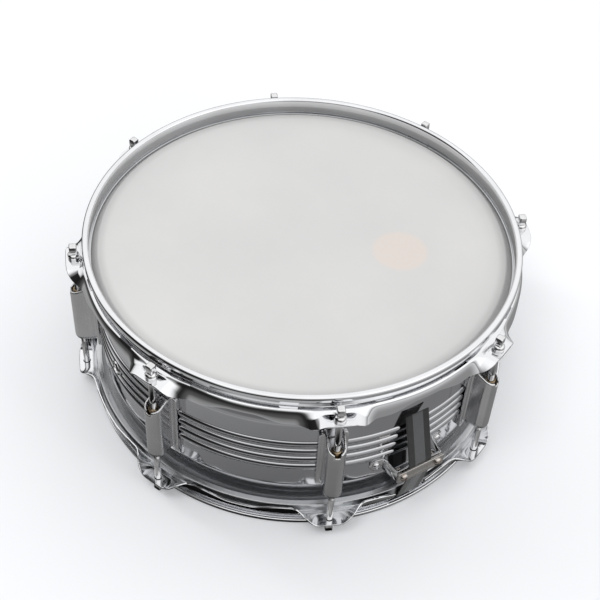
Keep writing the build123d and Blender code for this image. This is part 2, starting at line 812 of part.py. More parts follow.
save_turned(clamp_plate(block_face + strap_gap), "throwoff_clamp_plate")
block_shank = block_face - block_back + strap_gap + 2
save_turned(clamp_screws(block_face + strap_gap, block_shank), "throwoff_clamp_screws")
save_turned(
    strap(block_face, [(block_face + strap_thickness / 2 + 0.05, throwoff_tail_top)]),
    "throwoff_strap",
)

with BuildPart() as tension_spindle:
    with BuildSketch(Plane.XY.offset(tongue_bottom + 4)):
        with Locations((spindle_axis, 0)):
            Circle(spindle_radius)
    extrude(amount=knob_bottom + 4 - tongue_bottom - 4)
save_turned(tension_spindle.part, "tension_spindle")

with BuildPart() as tension_knob:
    with BuildSketch(Plane.XY.offset(knob_bottom)):
        with Locations((spindle_axis, 0)):
            Circle(knob_radius)
            with PolarLocations(knob_radius + 0.4, knob_flutes):
                Circle(0.9, mode=Mode.SUBTRACT)
    extrude(amount=knob_top - knob_bottom)
    chamfer(tension_knob.faces().sort_by(Axis.Z)[-1].edges(), length=0.5)
    with BuildSketch(Plane.XY.offset(knob_bottom - 1)):
        with Locations((spindle_axis, 0)):
            Circle(spindle_radius)
    extrude(amount=5, mode=Mode.SUBTRACT)
save_turned(tension_knob.part, "tension_knob")

with BuildPart() as throwoff_pivot_pin:
    with BuildSketch(Plane.XZ.offset(-(lever_cheek_inner + lever_cheek + 1))):
        with Locations((pivot_axis, pivot_height)):
            Circle(pivot_radius - 0.05)
    extrude(amount=2 * (lever_cheek_inner + lever_cheek + 1))
    for side in (-1, 1):
        with BuildSketch(Plane.XZ.offset(side * rail_gap)):
            with Locations((pivot_axis, pivot_height)):
                Circle(pivot_radius)
        extrude(amount=side * rail_thickness)
    with BuildSketch(Plane.XZ):
        with Locations((pivot_axis, pivot_height)):
            Rectangle(6, 6)
    extrude(amount=rail_gap, both=True, mode=Mode.SUBTRACT)
save_turned(throwoff_pivot_pin.part, "throwoff_pivot_pin")

with BuildPart() as throwoff_lever:
    for side in (-1, 1):
        with BuildSketch(Plane.XZ.offset(side * lever_cheek_inner)):
            with BuildLine():
                Polyline(
                    (lever_back, pivot_height + 3),
                    (lever_back, pivot_height - 2),
                    (lever_back + 2, pivot_height - 4),
                    (pivot_axis + 4, pivot_height - 4),
                    (lever_face, lever_bottom),
                    (lever_face, lever_top),
                    (lever_face - lever_cheek - 1.5, lever_top),
                    (lever_back + 8, pivot_height + 8),
                    close=True,
                )
            make_face()
            with Locations((pivot_axis, pivot_height)):
                Circle(pivot_radius, mode=Mode.SUBTRACT)
        extrude(amount=side * lever_cheek)
    with BuildSketch(facing_plane(0, lever_face - lever_cheek, (lever_bottom + lever_top) / 2)):
        Rectangle(2 * (lever_cheek_inner + lever_cheek), lever_top - lever_bottom)
    extrude(amount=lever_cheek)
save_turned(throwoff_lever.part, "throwoff_lever")

with BuildPart() as throwoff_lever_grip:
    with BuildSketch(facing_plane(0, lever_face + 0.02, (lever_bottom + lever_top) / 2 + 4)):
        RectangleRounded(2 * lever_cheek_inner, lever_top - lever_bottom - 10, 3)
    extrude(amount=1.6, taper=20)
save_turned(throwoff_lever_grip.part, "throwoff_lever_grip")

with BuildPart() as throwoff_mounting_screws:
    for height in base_screw_heights:
        for side in (-1, 1):
            seat = inward_plane(side * base_screw_angle, screw_seat + 1, height)
            add(pan_screw(seat, clamp_head_radius, clamp_head_height, clamp_screw_radius, 5.5))
save_turned(throwoff_mounting_screws.part, "throwoff_mounting_screws")
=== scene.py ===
import math

import bmesh
import bpy
from mathutils import Matrix, Quaternion, Vector


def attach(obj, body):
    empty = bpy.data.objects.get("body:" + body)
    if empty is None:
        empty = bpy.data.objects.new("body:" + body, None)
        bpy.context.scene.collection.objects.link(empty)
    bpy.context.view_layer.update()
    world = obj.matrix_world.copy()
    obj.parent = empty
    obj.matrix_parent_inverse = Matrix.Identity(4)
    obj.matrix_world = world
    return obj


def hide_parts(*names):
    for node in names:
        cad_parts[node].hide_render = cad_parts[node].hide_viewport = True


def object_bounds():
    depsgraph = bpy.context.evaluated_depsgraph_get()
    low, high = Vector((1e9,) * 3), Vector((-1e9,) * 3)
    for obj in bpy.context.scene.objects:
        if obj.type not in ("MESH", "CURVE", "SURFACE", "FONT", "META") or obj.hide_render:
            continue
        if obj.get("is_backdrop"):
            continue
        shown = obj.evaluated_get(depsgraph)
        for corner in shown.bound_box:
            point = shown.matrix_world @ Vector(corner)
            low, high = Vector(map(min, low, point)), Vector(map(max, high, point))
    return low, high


# A 14 inch snare drum with a beaded steel shell, looked at from above its front.
# Sizes are in millimetres and are turned into metres as each mesh is made.

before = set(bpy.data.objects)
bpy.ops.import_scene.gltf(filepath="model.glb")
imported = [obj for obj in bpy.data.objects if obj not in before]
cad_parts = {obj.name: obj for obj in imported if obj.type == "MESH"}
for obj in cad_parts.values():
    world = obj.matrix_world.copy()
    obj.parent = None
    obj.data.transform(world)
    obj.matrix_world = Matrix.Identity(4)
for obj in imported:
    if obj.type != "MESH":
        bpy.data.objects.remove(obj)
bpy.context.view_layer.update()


# ---- Camera ----
# A long lens looks down on the batter head, with the butt plate towards the right. The shift and
# the roll place the drum in the frame.
camera_data = bpy.data.cameras.new("camera")
camera_data.sensor_width = 36
camera_data.lens = 70.4
camera_data.shift_x = 0.00123
camera_data.shift_y = -0.00713


def linked(name, data):
    """A new object in the scene."""
    made = bpy.data.objects.new(name, data)
    bpy.context.scene.collection.objects.link(made)
    return made


camera = linked("camera", camera_data)
camera_turn = math.radians(-33.3)
camera_rise = math.radians(45.75)
camera_roll = math.radians(3.63)
camera_distance = 1.0534
drum_middle = Vector((0, 0, 0.08225))
towards_camera = Vector((
    math.cos(camera_rise) * math.cos(camera_turn),
    math.cos(camera_rise) * math.sin(camera_turn),
    math.sin(camera_rise),
))
camera.location = drum_middle + towards_camera * camera_distance
facing = (-towards_camera).to_track_quat("-Z", "Y")
camera.rotation_euler = (facing @ Quaternion((0, 0, 1), camera_roll)).to_euler()
bpy.context.scene.camera = camera
bpy.context.scene.view_settings.view_transform = "Standard"


# ---- Studio ----
# A pale floor, soft lamps and a sky that stands for the studio's walls. Plated steel shows the
# room, so the sky has dark and light parts. Lamps and floor are kept out of the reflections.
def add_node(tree, kind, **settings):
    made = tree.nodes.new(kind)
    for key, value in settings.items():
        setattr(made, key, value)
    return made


def set_inputs(made, **values):
    for key, value in values.items():
        made.inputs[key.replace("_", " ")].default_value = value


def wire(tree, *links):
    """Links, each given as a node and its output and then a node and its input."""
    for source, output, target, entry in links:
        tree.links.new(source.outputs[output], target.inputs[entry])


def new_material(name):
    """A material with its tree and its shader."""
    material = bpy.data.materials.new(name)
    material.use_nodes = True
    return material, material.node_tree, material.node_tree.nodes["Principled BSDF"]


def colour_ramp(tree, stops):
    """A ramp of greys or colours at these positions from 0 to 1."""
    ramp = tree.nodes.new("ShaderNodeValToRGB")
    elements = ramp.color_ramp.elements
    while len(elements) < len(stops):
        elements.new(0.5)
    for element, (place, colour) in zip(elements, stops):
        element.position = place
        rgb = colour if isinstance(colour, tuple) else (colour, colour, colour)
        element.color = (*rgb, 1)
    return ramp


world = bpy.data.worlds.new("studio")
bpy.context.scene.world = world
world.use_nodes = True
sky = world.node_tree
sky.nodes.clear()
sky_out = add_node(sky, "ShaderNodeOutputWorld")
sky_light = add_node(sky, "ShaderNodeBackground")
sky_place = add_node(sky, "ShaderNodeTexCoord")
sky_split = add_node(sky, "ShaderNodeSeparateXYZ")
sky_height = add_node(sky, "ShaderNodeMapRange")
set_inputs(sky_height, From_Min=-1.0, From_Max=1.0)
# Below eye level: black straight under the drum, grey further out, dark again at eye level. At the
# right it stays light.
below_ramp = colour_ramp(sky, [
    (0.00, 0.004),
    (0.06, 0.008),
    (0.095, 0.22),
    (0.13, 0.46),
    (0.17, 0.30),
    (0.21, 0.38),
    (0.27, 0.10),
    (0.40, 0.03),
    (0.48, 0.02),
])
low_right_ramp = colour_ramp(sky, [(0.10, 0.25), (0.25, 0.30), (0.38, 0.55), (0.48, 0.75)])
# Overhead there is a large diffuser, behind the drum a white backdrop, in front a dim room, at the
# right a white wall and at the front left a black flag.
flag_ramp = colour_ramp(sky, [(0.48, 0.012), (0.80, 0.02), (0.90, 0.35), (0.96, 0.9)])
front_ramp = colour_ramp(sky, [(0.48, 0.03), (0.58, 0.10), (0.68, 0.45), (0.80, 0.95), (0.92, 1.2)])
back_ramp = colour_ramp(sky, [(0.48, 0.10), (0.53, 0.45), (0.62, 0.95), (0.80, 1.1)])
right_ramp = colour_ramp(sky, [(0.48, 0.08), (0.54, 0.50), (0.66, 1.2), (0.90, 1.3)])


def facing_share(direction, low, high):
    """How far the sky's direction points this way, eased from low to high."""
    dot = add_node(sky, "ShaderNodeVectorMath", operation="DOT_PRODUCT")
    dot.inputs[1].default_value = direction
    share = add_node(sky, "ShaderNodeMapRange", interpolation_type="SMOOTHSTEP")
    set_inputs(share, From_Min=low, From_Max=high)
    wire(
        sky,
        (sky_place, "Generated", dot, 0),
        (dot, "Value", share, "Value"),
    )
    return share


def blended(first, second, share):
    """The first tone, turning into the second where the share is 1."""
    mix = add_node(sky, "ShaderNodeMix", data_type="RGBA")
    wire(sky, (share, 0, mix, "Factor"))
    sky.links.new(first, mix.inputs["A"])
    sky.links.new(second, mix.inputs["B"])
    return mix.outputs["Result"]


front_way = Vector((math.cos(camera_turn), math.sin(camera_turn), 0))
right_way = Vector((-front_way.y, front_way.x, 0))
wire(
    sky,
    (sky_place, "Generated", sky_split, 0),
    (sky_split, "Z", sky_height, "Value"),
)
for ramp in (below_ramp, low_right_ramp, flag_ramp, front_ramp, back_ramp, right_ramp):
    wire(sky, (sky_height, 0, ramp, 0))
above = blended(flag_ramp.outputs[0], front_ramp.outputs[0], facing_share(right_way, -0.62, -0.35))
above = blended(above, right_ramp.outputs[0], facing_share(right_way, 0.15, 0.55))
above = blended(above, back_ramp.outputs[0], facing_share(-front_way, -0.03, 0.14))
low = blended(below_ramp.outputs[0], low_right_ramp.outputs[0], facing_share(right_way, 0.20, 0.50))
everywhere = blended(low, above, facing_share(Vector((0, 0, 1)), -0.06, 0.02))
# Past the floor's edge the eye sees the same pale tone, while the plating mirrors the studio.
sky_rays = add_node(sky, "ShaderNodeLightPath")
sky_seen = add_node(sky, "ShaderNodeMix", data_type="RGBA")
set_inputs(sky_seen, B=(0.94, 0.95, 0.97, 1))
wire(sky, (sky_rays, "Is Camera Ray", sky_seen, "Factor"))
sky.links.new(everywhere, sky_seen.inputs["A"])
wire(
    sky,
    (sky_seen, "Result", sky_light, "Color"),
    (sky_light, 0, sky_out, "Surface"),
)

floor_mesh = bpy.data.meshes.new("floor")
floor_reach, floor_level = 14, -0.0004
floor_mesh.from_pydata(
    [(x * floor_reach, y * floor_reach, floor_level) for x, y in ((-1, -1), (1, -1), (1, 1), (-1, 1))],
    [],
    [(0, 1, 2, 3)],
)
floor = linked("floor", floor_mesh)
floor.visible_glossy = False
floor_paint, _, floor_shader = new_material("pale_floor")
set_inputs(
    floor_shader,
    Base_Color=(0.66, 0.67, 0.685, 1),
    Roughness=0.9,
    Specular_IOR_Level=0.0,
    Emission_Color=(0.93, 0.95, 0.98, 1),
    Emission_Strength=0.15,
)
floor_mesh.materials.append(floor_paint)
floor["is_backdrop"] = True

lamp_aim = Vector((0, 0, 0.08))


def softbox(name, place, size, power):
    """A soft rectangular lamp that looks at the drum and isn't seen in the plating."""
    data = bpy.data.lights.new(name, "AREA")
    data.shape = "RECTANGLE"
    data.size, data.size_y = size
    data.energy = power
    lamp = linked(name, data)
    lamp.location = place
    lamp.visible_glossy = False
    lamp.rotation_euler = (lamp_aim - Vector(place)).to_track_quat("-Z", "Y").to_euler()


softbox("key_light", (0.4, -0.9, 2.0), (0.9, 0.6), 12.5)
softbox("left_strip", (-1.5, -0.9, 0.75), (0.25, 1.1), 6.5)
softbox("back_strip", (-0.6, 1.7, 0.9), (1.2, 0.25), 5)
softbox("right_strip", (1.7, 0.5, 0.55), (0.25, 0.9), 4)


# ---- Shell ----
# One sheet of steel rolled to 14 inches, seam-welded, with four pressed beads, a stepped band and a
# folded bearing edge at each end, then chrome plated. The holes are for screws and the vent.
MM = 0.001
mid_height = 82.25


def skin(name, sections, ring=True):
    """One closed skin through matching closed sections, in a ring or capped at both ends."""
    count = len(sections)
    around = len(sections[0])
    points = [Vector(point) * MM for section in sections for point in section]
    faces = []
    for i in range(count if ring else count - 1):
        here = i * around
        there = (i + 1) % count * around
        for j in range(around):
            k = (j + 1) % around
            faces.append((here + j, here + k, there + k, there + j))
    if not ring:
        faces.append(tuple(range(around)))
        faces.append(tuple(range((count - 1) * around, count * around)))
    mesh = bpy.data.meshes.new(name)
    mesh.from_pydata(points, [], faces)
    tidy(mesh)
    return mesh


def tidy(mesh, crease=35):
    """Merge doubled points, turn the faces outwards and shade the skin smooth between creases."""
    work = bmesh.new()
    work.from_mesh(mesh)
    bmesh.ops.remove_doubles(work, verts=work.verts, dist=0.5e-6)
    bmesh.ops.recalc_face_normals(work, faces=work.faces)
    if work.calc_volume(signed=True) < 0:
        bmesh.ops.reverse_faces(work, faces=work.faces)
    work.to_mesh(mesh)
    work.free()
    mesh.shade_smooth()
    mesh.set_sharp_from_angle(angle=math.radians(crease))


def piece(name, mesh, material, body, replaces):
    """A finished mesh as a piece that rides on a body and stands for CAD nodes."""
    made = linked(name, mesh)
    mesh.materials.clear()
    mesh.materials.append(material)
    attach(made, body)
    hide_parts(*replaces)


def applied(holder, crease):
    """The holder's mesh as its modifier makes it, smooth between creases. The holder is removed."""
    bpy.context.view_layer.update()
    depsgraph = bpy.context.evaluated_depsgraph_get()
    result = bpy.data.meshes.new_from_object(holder.evaluated_get(depsgraph))
    bpy.data.objects.remove(holder)
    result.shade_smooth()
    result.set_sharp_from_angle(angle=math.radians(crease))
    return result


def baked(mesh, kind, crease=35, **settings):
    """The mesh with one modifier of this kind and these settings applied."""
    holder = linked("work", mesh)
    modifier = holder.modifiers.new("work", kind)
    for key, value in settings.items():
        setattr(modifier, key, value)
    return applied(holder, crease)


def as_mesh(work, name):
    """The bmesh as a new mesh. The bmesh is freed."""
    mesh = bpy.data.meshes.new(name)
    work.to_mesh(mesh)
    work.free()
    return mesh


def rods_through(name, holes):
    """Round cutters, each given as its two ends and a radius."""
    work = bmesh.new()
    for start, end, radius in holes:
        start, end = Vector(start) * MM, Vector(end) * MM
        turn = (end - start).to_track_quat("Z", "Y").to_matrix().to_4x4()
        place = Matrix.Translation((start + end) / 2) @ turn
        bmesh.ops.create_cone(
            work,
            cap_ends=True,
            segments=40,
            radius1=radius * MM,
            radius2=radius * MM,
            depth=(end - start).length,
            matrix=place,
        )
    return as_mesh(work, name)


def cut(mesh, cutter_mesh, crossing=False):
    """The mesh less the cutter's solids, which may cross each other."""
    tidy(cutter_mesh)
    cutter = linked("cutter", cutter_mesh)
    result = baked(
        mesh,
        "BOOLEAN",
        object=cutter,
        operation="DIFFERENCE",
        solver="EXACT" if crossing else "MANIFOLD",
        use_self=crossing,
    )
    bpy.data.objects.remove(cutter)
    return result


def eased(points, reach, steps):
    """The points' runs with each inner corner eased into a curve that starts this far before it."""
    line = [Vector(points[0])]
    for before, corner, after in zip(points, points[1:], points[2:]):
        before, corner, after = Vector(before), Vector(corner), Vector(after)
        back = min(reach, 0.48 * (before - corner).length)
        ahead = min(reach, 0.48 * (after - corner).length)
        start = corner + (before - corner).normalized() * back
        end = corner + (after - corner).normalized() * ahead
        for step in range(steps + 1):
            t = step / steps
            line.append(start * (1 - t) ** 2 + corner * (2 * t * (1 - t)) + end * t * t)
    line.append(Vector(points[-1]))
    return line


def sheet_outline(line, thickness):
    """The closed outline of bent sheet metal on this middle line, with its free edges broken."""
    broken = 0.35
    start = line[0] + (line[1] - line[0]).normalized() * broken
    end = line[-1] + (line[-2] - line[-1]).normalized() * broken
    line = [line[0], start] + line[1:-1] + [end, line[-1]]
    last = len(line) - 1
    left, right = [], []
    for i, point in enumerate(line):
        along = (line[min(i + 1, last)] - line[max(i - 1, 0)]).normalized()
        half = thickness / 2 * (0.5 if i in (0, last) else 1)
        side = Vector((-along.y, along.x)) * half
        left.append(point + side)
        right.append(point - side)
    return left + right[::-1]


def turned(outline, steps):
    """Sections of an outline of radius and height turned round the drum's axis."""
    sections = []
    for step in range(steps):
        angle = 2 * math.pi * step / steps
        sections.append([(r * math.cos(angle), r * math.sin(angle), z) for r, z in outline])
    return sections


def polar(angle, radius, height):
    """The point at this angle in degrees, radius and height."""
    turn = math.radians(angle)
    return (radius * math.cos(turn), radius * math.sin(turn), height)


shell_radius = 177.0
band_radius = 175.0
shell_wall = 1.2
half_depth = 69.85
band_end, band_start = 39.25, 49.25
bead_rise, bead_half = 1.6, 3.3
bead_heights = (-14.7, -4.9, 4.9, 14.7)
edge_bend, edge_flange = 2.4, 5.0


def bearing_edge(side):
    """The sheet's middle line over one bearing edge, from the turned-in flange to the band."""
    centre = (band_radius - edge_bend, mid_height + side * (half_depth - edge_bend))
    middle_bend = edge_bend - shell_wall / 2
    line = []
    for step in range(9):
        along = math.radians(135 - 135 * step / 8)
        x = centre[0] + middle_bend * math.cos(along)
        y = centre[1] + side * middle_bend * math.sin(along)
        line.append(Vector((x, y)))
    run = edge_flange * math.sqrt(0.5)
    return [line[0] + Vector((-run, -side * run))] + line


def bead(height):
    """The middle line over one bead, from low to high."""
    bow = (bead_half ** 2 + bead_rise ** 2) / (2 * bead_rise)
    reach = math.asin(bead_half / bow)
    line = []
    for step in range(11):
        along = -reach + 2 * reach * step / 10
        x = shell_radius - shell_wall / 2 + bead_rise - bow * (1 - math.cos(along))
        line.append(Vector((x, mid_height + height + bow * math.sin(along))))
    return line


def step_line(side):
    """The pressed step between the main wall and the band."""
    points = [
        (band_radius - shell_wall / 2, mid_height + side * (band_start + 4)),
        (band_radius - shell_wall / 2, mid_height + side * band_start),
        (shell_radius - shell_wall / 2, mid_height + side * band_end),
        (shell_radius - shell_wall / 2, mid_height + side * (band_end - 3)),
    ]
    return eased(points, 2.6, 5)


wall = bearing_edge(-1) + step_line(-1)
for height in bead_heights:
    wall += bead(height)
wall += step_line(1)[::-1] + bearing_edge(1)[::-1]
shell_mesh = skin("shell", turned(sheet_outline(wall, shell_wall), 360))

lug_angles = [22.5 + 45 * k for k in range(8)]
lug_screw_rises = (-9.8, 9.8)
butt_height, butt_screw_angle = 57.8, 9.75
base_screw_angle, base_screw_heights = 5.9, (57.5, 106.5)
vent_angle, vent_hole, screw_hole = -90, 5.4, 2.3
shell_holes = [(vent_angle, mid_height, vent_hole)]
for angle in lug_angles:
    shell_holes += [(angle, mid_height + rise, screw_hole) for rise in lug_screw_rises]
shell_holes += [(side * butt_screw_angle, butt_height, screw_hole) for side in (-1, 1)]
for height in base_screw_heights:
    shell_holes += [(180 + side * base_screw_angle, height, screw_hole) for side in (-1, 1)]
shell_mesh = cut(shell_mesh, rods_through("shell_cutters", [
    (polar(angle, 160, height), polar(angle, 190, height), radius)
    for angle, height, radius in shell_holes
]))


# Handling marks are on every plated piece: cloudy patches of wiped polish and fine hairlines.
def add_sockets(tree, direction, kind, **defaults):
    """Named inputs or outputs of a node group, with their defaults or None."""
    for label, value in defaults.items():
        socket = tree.interface.new_socket(
            name=label.replace("_", " "), in_out=direction, socket_type=f"NodeSocket{kind}"
        )
        if value is not None:
            socket.default_value = value


def make_handling_group():
    """Roughness between Bright and Dull, and the hairlines' height for a bump."""
    group = bpy.data.node_groups.new("handling_marks", "ShaderNodeTree")
    add_sockets(group, "INPUT", "Float", Patch_Scale=30.0, Line_Scale=500.0, Dull=0.2, Bright=0.1)
    add_sockets(group, "INPUT", "Vector", Stretch=(1, 1, 1))
    add_sockets(group, "OUTPUT", "Float", Roughness=None, Height=None)
    source = add_node(group, "NodeGroupInput")
    result = add_node(group, "NodeGroupOutput")
    place = add_node(group, "ShaderNodeTexCoord")
    patches = add_node(group, "ShaderNodeTexNoise")
    set_inputs(patches, Detail=3.0, Roughness=0.55)
    stretched = add_node(group, "ShaderNodeVectorMath", operation="MULTIPLY")
    lines = add_node(group, "ShaderNodeTexNoise")
    set_inputs(lines, Detail=2.0, Roughness=0.6)
    both = add_node(group, "ShaderNodeMath", operation="ADD")
    spread = add_node(group, "ShaderNodeMapRange")
    set_inputs(spread, From_Min=0.7, From_Max=1.3)
    wire(
        group,
        (place, "Object", patches, "Vector"),
        (source, "Patch Scale", patches, "Scale"),
        (place, "Object", stretched, 0),
        (source, "Stretch", stretched, 1),
        (stretched, 0, lines, "Vector"),
        (source, "Line Scale", lines, "Scale"),
        (patches, 0, both, 0),
        (lines, 0, both, 1),
        (both, 0, spread, "Value"),
        (source, "Bright", spread, "To Min"),
        (source, "Dull", spread, "To Max"),
        (spread, 0, result, "Roughness"),
        (lines, 0, result, "Height"),
    )
    return group


handling_marks = make_handling_group()


def plating(
    name, colour, bright, dull, stretch=(1, 1, 1), patch=30.0, line=500.0, grain=0.008, darker=None
):
    """A plated or bare metal with handling marks, and the colour of its darker patches."""
    material, tree, shader = new_material(name)
    set_inputs(shader, Metallic=1.0, Base_Color=(*colour, 1))
    marks = add_node(tree, "ShaderNodeGroup", node_tree=handling_marks)
    set_inputs(marks, Patch_Scale=patch, Line_Scale=line, Dull=dull, Bright=bright, Stretch=stretch)
    relief = add_node(tree, "ShaderNodeBump")
    set_inputs(relief, Strength=grain, Distance=0.0004)
    cloud_place = add_node(tree, "ShaderNodeTexCoord")
    cloud = add_node(tree, "ShaderNodeTexNoise")
    set_inputs(cloud, Scale=patch * 1.7, Detail=4.0)
    tones = colour_ramp(tree, [(0.35, darker or tuple(c * 0.93 for c in colour)), (0.65, colour)])
    wire(
        tree,
        (cloud_place, "Object", cloud, "Vector"),
        (cloud, 0, tones, 0),
        (tones, 0, shader, "Base Color"),
        (marks, "Roughness", shader, "Roughness"),
        (marks, "Height", relief, "Height"),
        (relief, 0, shader, "Normal"),
    )
    return material


shell_plating = plating(
    "shell_plating", (0.62, 0.625, 0.645), 0.05, 0.12,
    stretch=(0.05, 0.05, 3), patch=9, line=260, grain=0.004,
)
piece("drum_shell", shell_mesh, shell_plating, "drum", ["shell"])


# ---- Vent grommet ----
# A plated eyelet pressed through the front of the shell, so that air can leave when the head moves.
def ring_about(origin, axis, profile, steps=48, outline=None):
    """Sections of a profile of radius and distance along an axis, turned round that axis."""
    axis = Vector(axis).normalized()
    turn = axis.to_track_quat("Z", "Y")
    rings = []
    for radius, along in profile:
        ring = []
        for step in range(steps):
            angle = 2 * math.pi * step / steps
            size = radius * (outline(angle) if outline else 1)
            place = Vector((size * math.cos(angle), size * math.sin(angle), along))
            ring.append(Vector(origin) + turn @ place)
        rings.append(ring)
    return rings


eyelet_profile = [
    (5.2, 177.1), (6.6, 177.1), (7.0, 177.6), (6.9, 178.4), (6.3, 179.3), (5.3, 179.9), (4.6, 179.7),
    (4.2, 179.0), (4.2, 175.6), (4.5, 174.7), (5.3, 174.4), (6.6, 174.5), (7.0, 175.2), (6.6, 175.6),
    (5.2, 175.6),
]
eyelet_mesh = skin("vent_eyelet", ring_about((0, 0, mid_height), (0, -1, 0), eyelet_profile))
bright_plating = plating("bright_plating", (0.80, 0.80, 0.81), 0.04, 0.12, patch=60, line=900)
piece("vent_eyelet", eyelet_mesh, bright_plating, "drum", ["vent_grommet"])


# ---- Hoops ----
# Pressed 1.8 mm steel, chrome plated: a rim curled outwards, an upright wall, a seat on the head's
# ring, and a skirt that hangs deeper beside each rod and flares out level there to make an ear.
hoop_steel = 1.8
drum_height = 164.5
rim_middle = 186.0 - hoop_steel / 2
wall_middle = 180.3 + hoop_steel / 2
seat_middle = 151.0 - hoop_steel / 2
seat_radius = 187.3
ear_top = 148.8
ear_middle = ear_top - hoop_steel / 2
rim_lip, rim_bend = 5.0, 1.75
skirt_radius, skirt_top = 187.1, 149.2
ear_run, flank_run, shallow_run = 12.7, 11.8, 6.3
rod_circle, ear_hole = 193.5, 3.4
ear_flat_angle, flare_angle, flank_angle, shallow_angle = 2.5, 10.0, 12.0, 20.0


def smooth_share(angle, start, end):
    """0 up to the start angle from an ear, 1 from the end angle on, smooth between them."""
    share = min(max((abs(angle) - start) / (end - start), 0.0), 1.0)
    return share * share * (3 - 2 * share)


def hoop_section(angle):
    """The hoop's outline in a radial plane, this many degrees from the nearest ear."""
    turned_down = smooth_share(angle, ear_flat_angle, flare_angle)
    shallow = smooth_share(angle, flank_angle, shallow_angle)
    upright_run = flank_run + (shallow_run - flank_run) * shallow
    level_knee = Vector((seat_radius + 0.5, ear_middle))
    knee = level_knee.lerp(Vector((skirt_radius, skirt_top)), turned_down)
    run = ear_run + (upright_run - ear_run) * turned_down - 0.3 * math.sin(math.pi * turned_down)
    drop = math.radians(90 * turned_down - 9 * turned_down ** 6)
    tip = knee + Vector((math.cos(drop), -math.sin(drop))) * run
    rim_top = drum_height - hoop_steel / 2
    bend = 1.2 + (0.85 * run - 1.2) * turned_down
    seat_way = (Vector((seat_radius - 1.8, seat_middle)) - knee).normalized()
    bend_start = knee + seat_way * min(bend, 2.0)
    bend_end = knee + (tip - knee).normalized() * bend
    points = [
        (rim_middle, drum_height - rim_lip),
        (rim_middle, rim_top),
        (wall_middle, rim_top),
        (wall_middle, seat_middle),
        tuple(bend_start),
    ]
    line = eased(points, rim_bend, 5)
    for step in range(1, 9):
        t = step / 8
        line.append(bend_start * (1 - t) ** 2 + knee * (2 * t * (1 - t)) + bend_end * t * t)
    line.append(tip)
    return sheet_outline(line, hoop_steel)


hoop_steps = 720
hoop_sections = []
for step in range(hoop_steps):
    angle = 360 * step / hoop_steps
    from_ear = (angle % 45) - 22.5
    hoop_sections.append([polar(angle, r, z) for r, z in hoop_section(from_ear)])
ear_holes = [(polar(a, rod_circle, 140), polar(a, rod_circle, 156), ear_hole) for a in lug_angles]
batter_hoop_mesh = cut(skin("batter_hoop", hoop_sections), rods_through("ear_cutters", ear_holes))

hoop_plating = plating(
    "hoop_plating", (0.84, 0.845, 0.86), 0.03, 0.09,
    stretch=(0.2, 0.2, 2), patch=14, line=300, grain=0.002,
)
piece("batter_hoop_pressing", batter_hoop_mesh, hoop_plating, "drum", ["batter_hoop"])


# The snare-side hoop is the same pressing upside down, with a gate cut through it for each strap.
def merged(name, *meshes):
    """Several meshes as one."""
    work = bmesh.new()
    for mesh in meshes:
        work.from_mesh(mesh)
    return as_mesh(work, name)


gate_width, gate_top, gate_bottom, gate_corner = 30.0, 26.0, rim_lip + 0.07, 1.6
lower_sections = [[(x, y, drum_height - z) for x, y, z in section] for section in hoop_sections]
gate_work = bmesh.new()
for side in (-1, 1):
    middle = Vector((side * 183.0, 0, (gate_bottom + gate_top) / 2)) * MM
    size = Matrix.Diagonal((24.3 * MM, gate_width * MM, (gate_top - gate_bottom) * MM, 1))
    bmesh.ops.create_cube(gate_work, size=1, matrix=Matrix.Translation(middle) @ size)
bmesh.ops.bevel(
    gate_work,
    geom=[e for e in gate_work.edges if abs((e.verts[0].co - e.verts[1].co).normalized().x) > 0.9],
    offset=gate_corner * MM,
    segments=4,
    affect="EDGES",
    profile=0.5,
)
gate_cutters = as_mesh(gate_work, "gate_cutters")
lower_holes = [(polar(a, rod_circle, 8), polar(a, rod_circle, 25), ear_hole) for a in lug_angles]
lower_cutters = merged("lower_cutters", gate_cutters, rods_through("lower_ear_cutters", lower_holes))
snare_hoop_mesh = cut(skin("snare_hoop", lower_sections), lower_cutters)
piece("snare_side_hoop_pressing", snare_hoop_mesh, hoop_plating, "drum", ["snare_side_hoop"])


# ---- Heads ----
# The batter head is polyester film sprayed with a white coating that feels like fine paper, and the
# snare-side head is thin and clear. Each is drawn over the bearing edge and held in a metal ring.
ring_inner, ring_outer, ring_low, ring_high = 179.2, 184.5, 139.8, 149.2
shell_top = mid_height + half_depth


def film_outline(thickness, edge_height):
    """A flat disc, round the bearing edge and down to the ring, as a closed outline."""
    centre = Vector((band_radius - edge_bend, edge_height - edge_bend))
    low, high = [], []
    for step in range(9):
        along = math.radians(90 - 45 * step / 8)
        way = Vector((math.cos(along), math.sin(along)))
        low.append(centre + way * edge_bend)
        high.append(centre + way * (edge_bend + thickness))
    run = Vector((1, -1)) * (ring_inner - low[-1].x)
    low.append(low[-1] + run)
    high.append(Vector((ring_inner, low[-1].y + thickness * math.sqrt(2))))
    rings = [2.0 + 167.0 * (step / 11) ** 0.8 for step in range(12)]
    under = [Vector((r, edge_height)) for r in rings]
    above = [Vector((r, edge_height + thickness)) for r in rings]
    return under + low, above + high


def film_mesh(name, thickness, upside_down=False):
    """The film as one closed skin, capped with a small disc at its middle on each side."""
    under, above = film_outline(thickness, shell_top)
    steps = 240
    rows = under + above[::-1]
    flip = (lambda z: drum_height - z) if upside_down else (lambda z: z)
    sections = []
    for row in rows:
        sections.append([polar(360 * s / steps, row.x, flip(row.y)) for s in range(steps)])
    return skin(name, sections, ring=False)


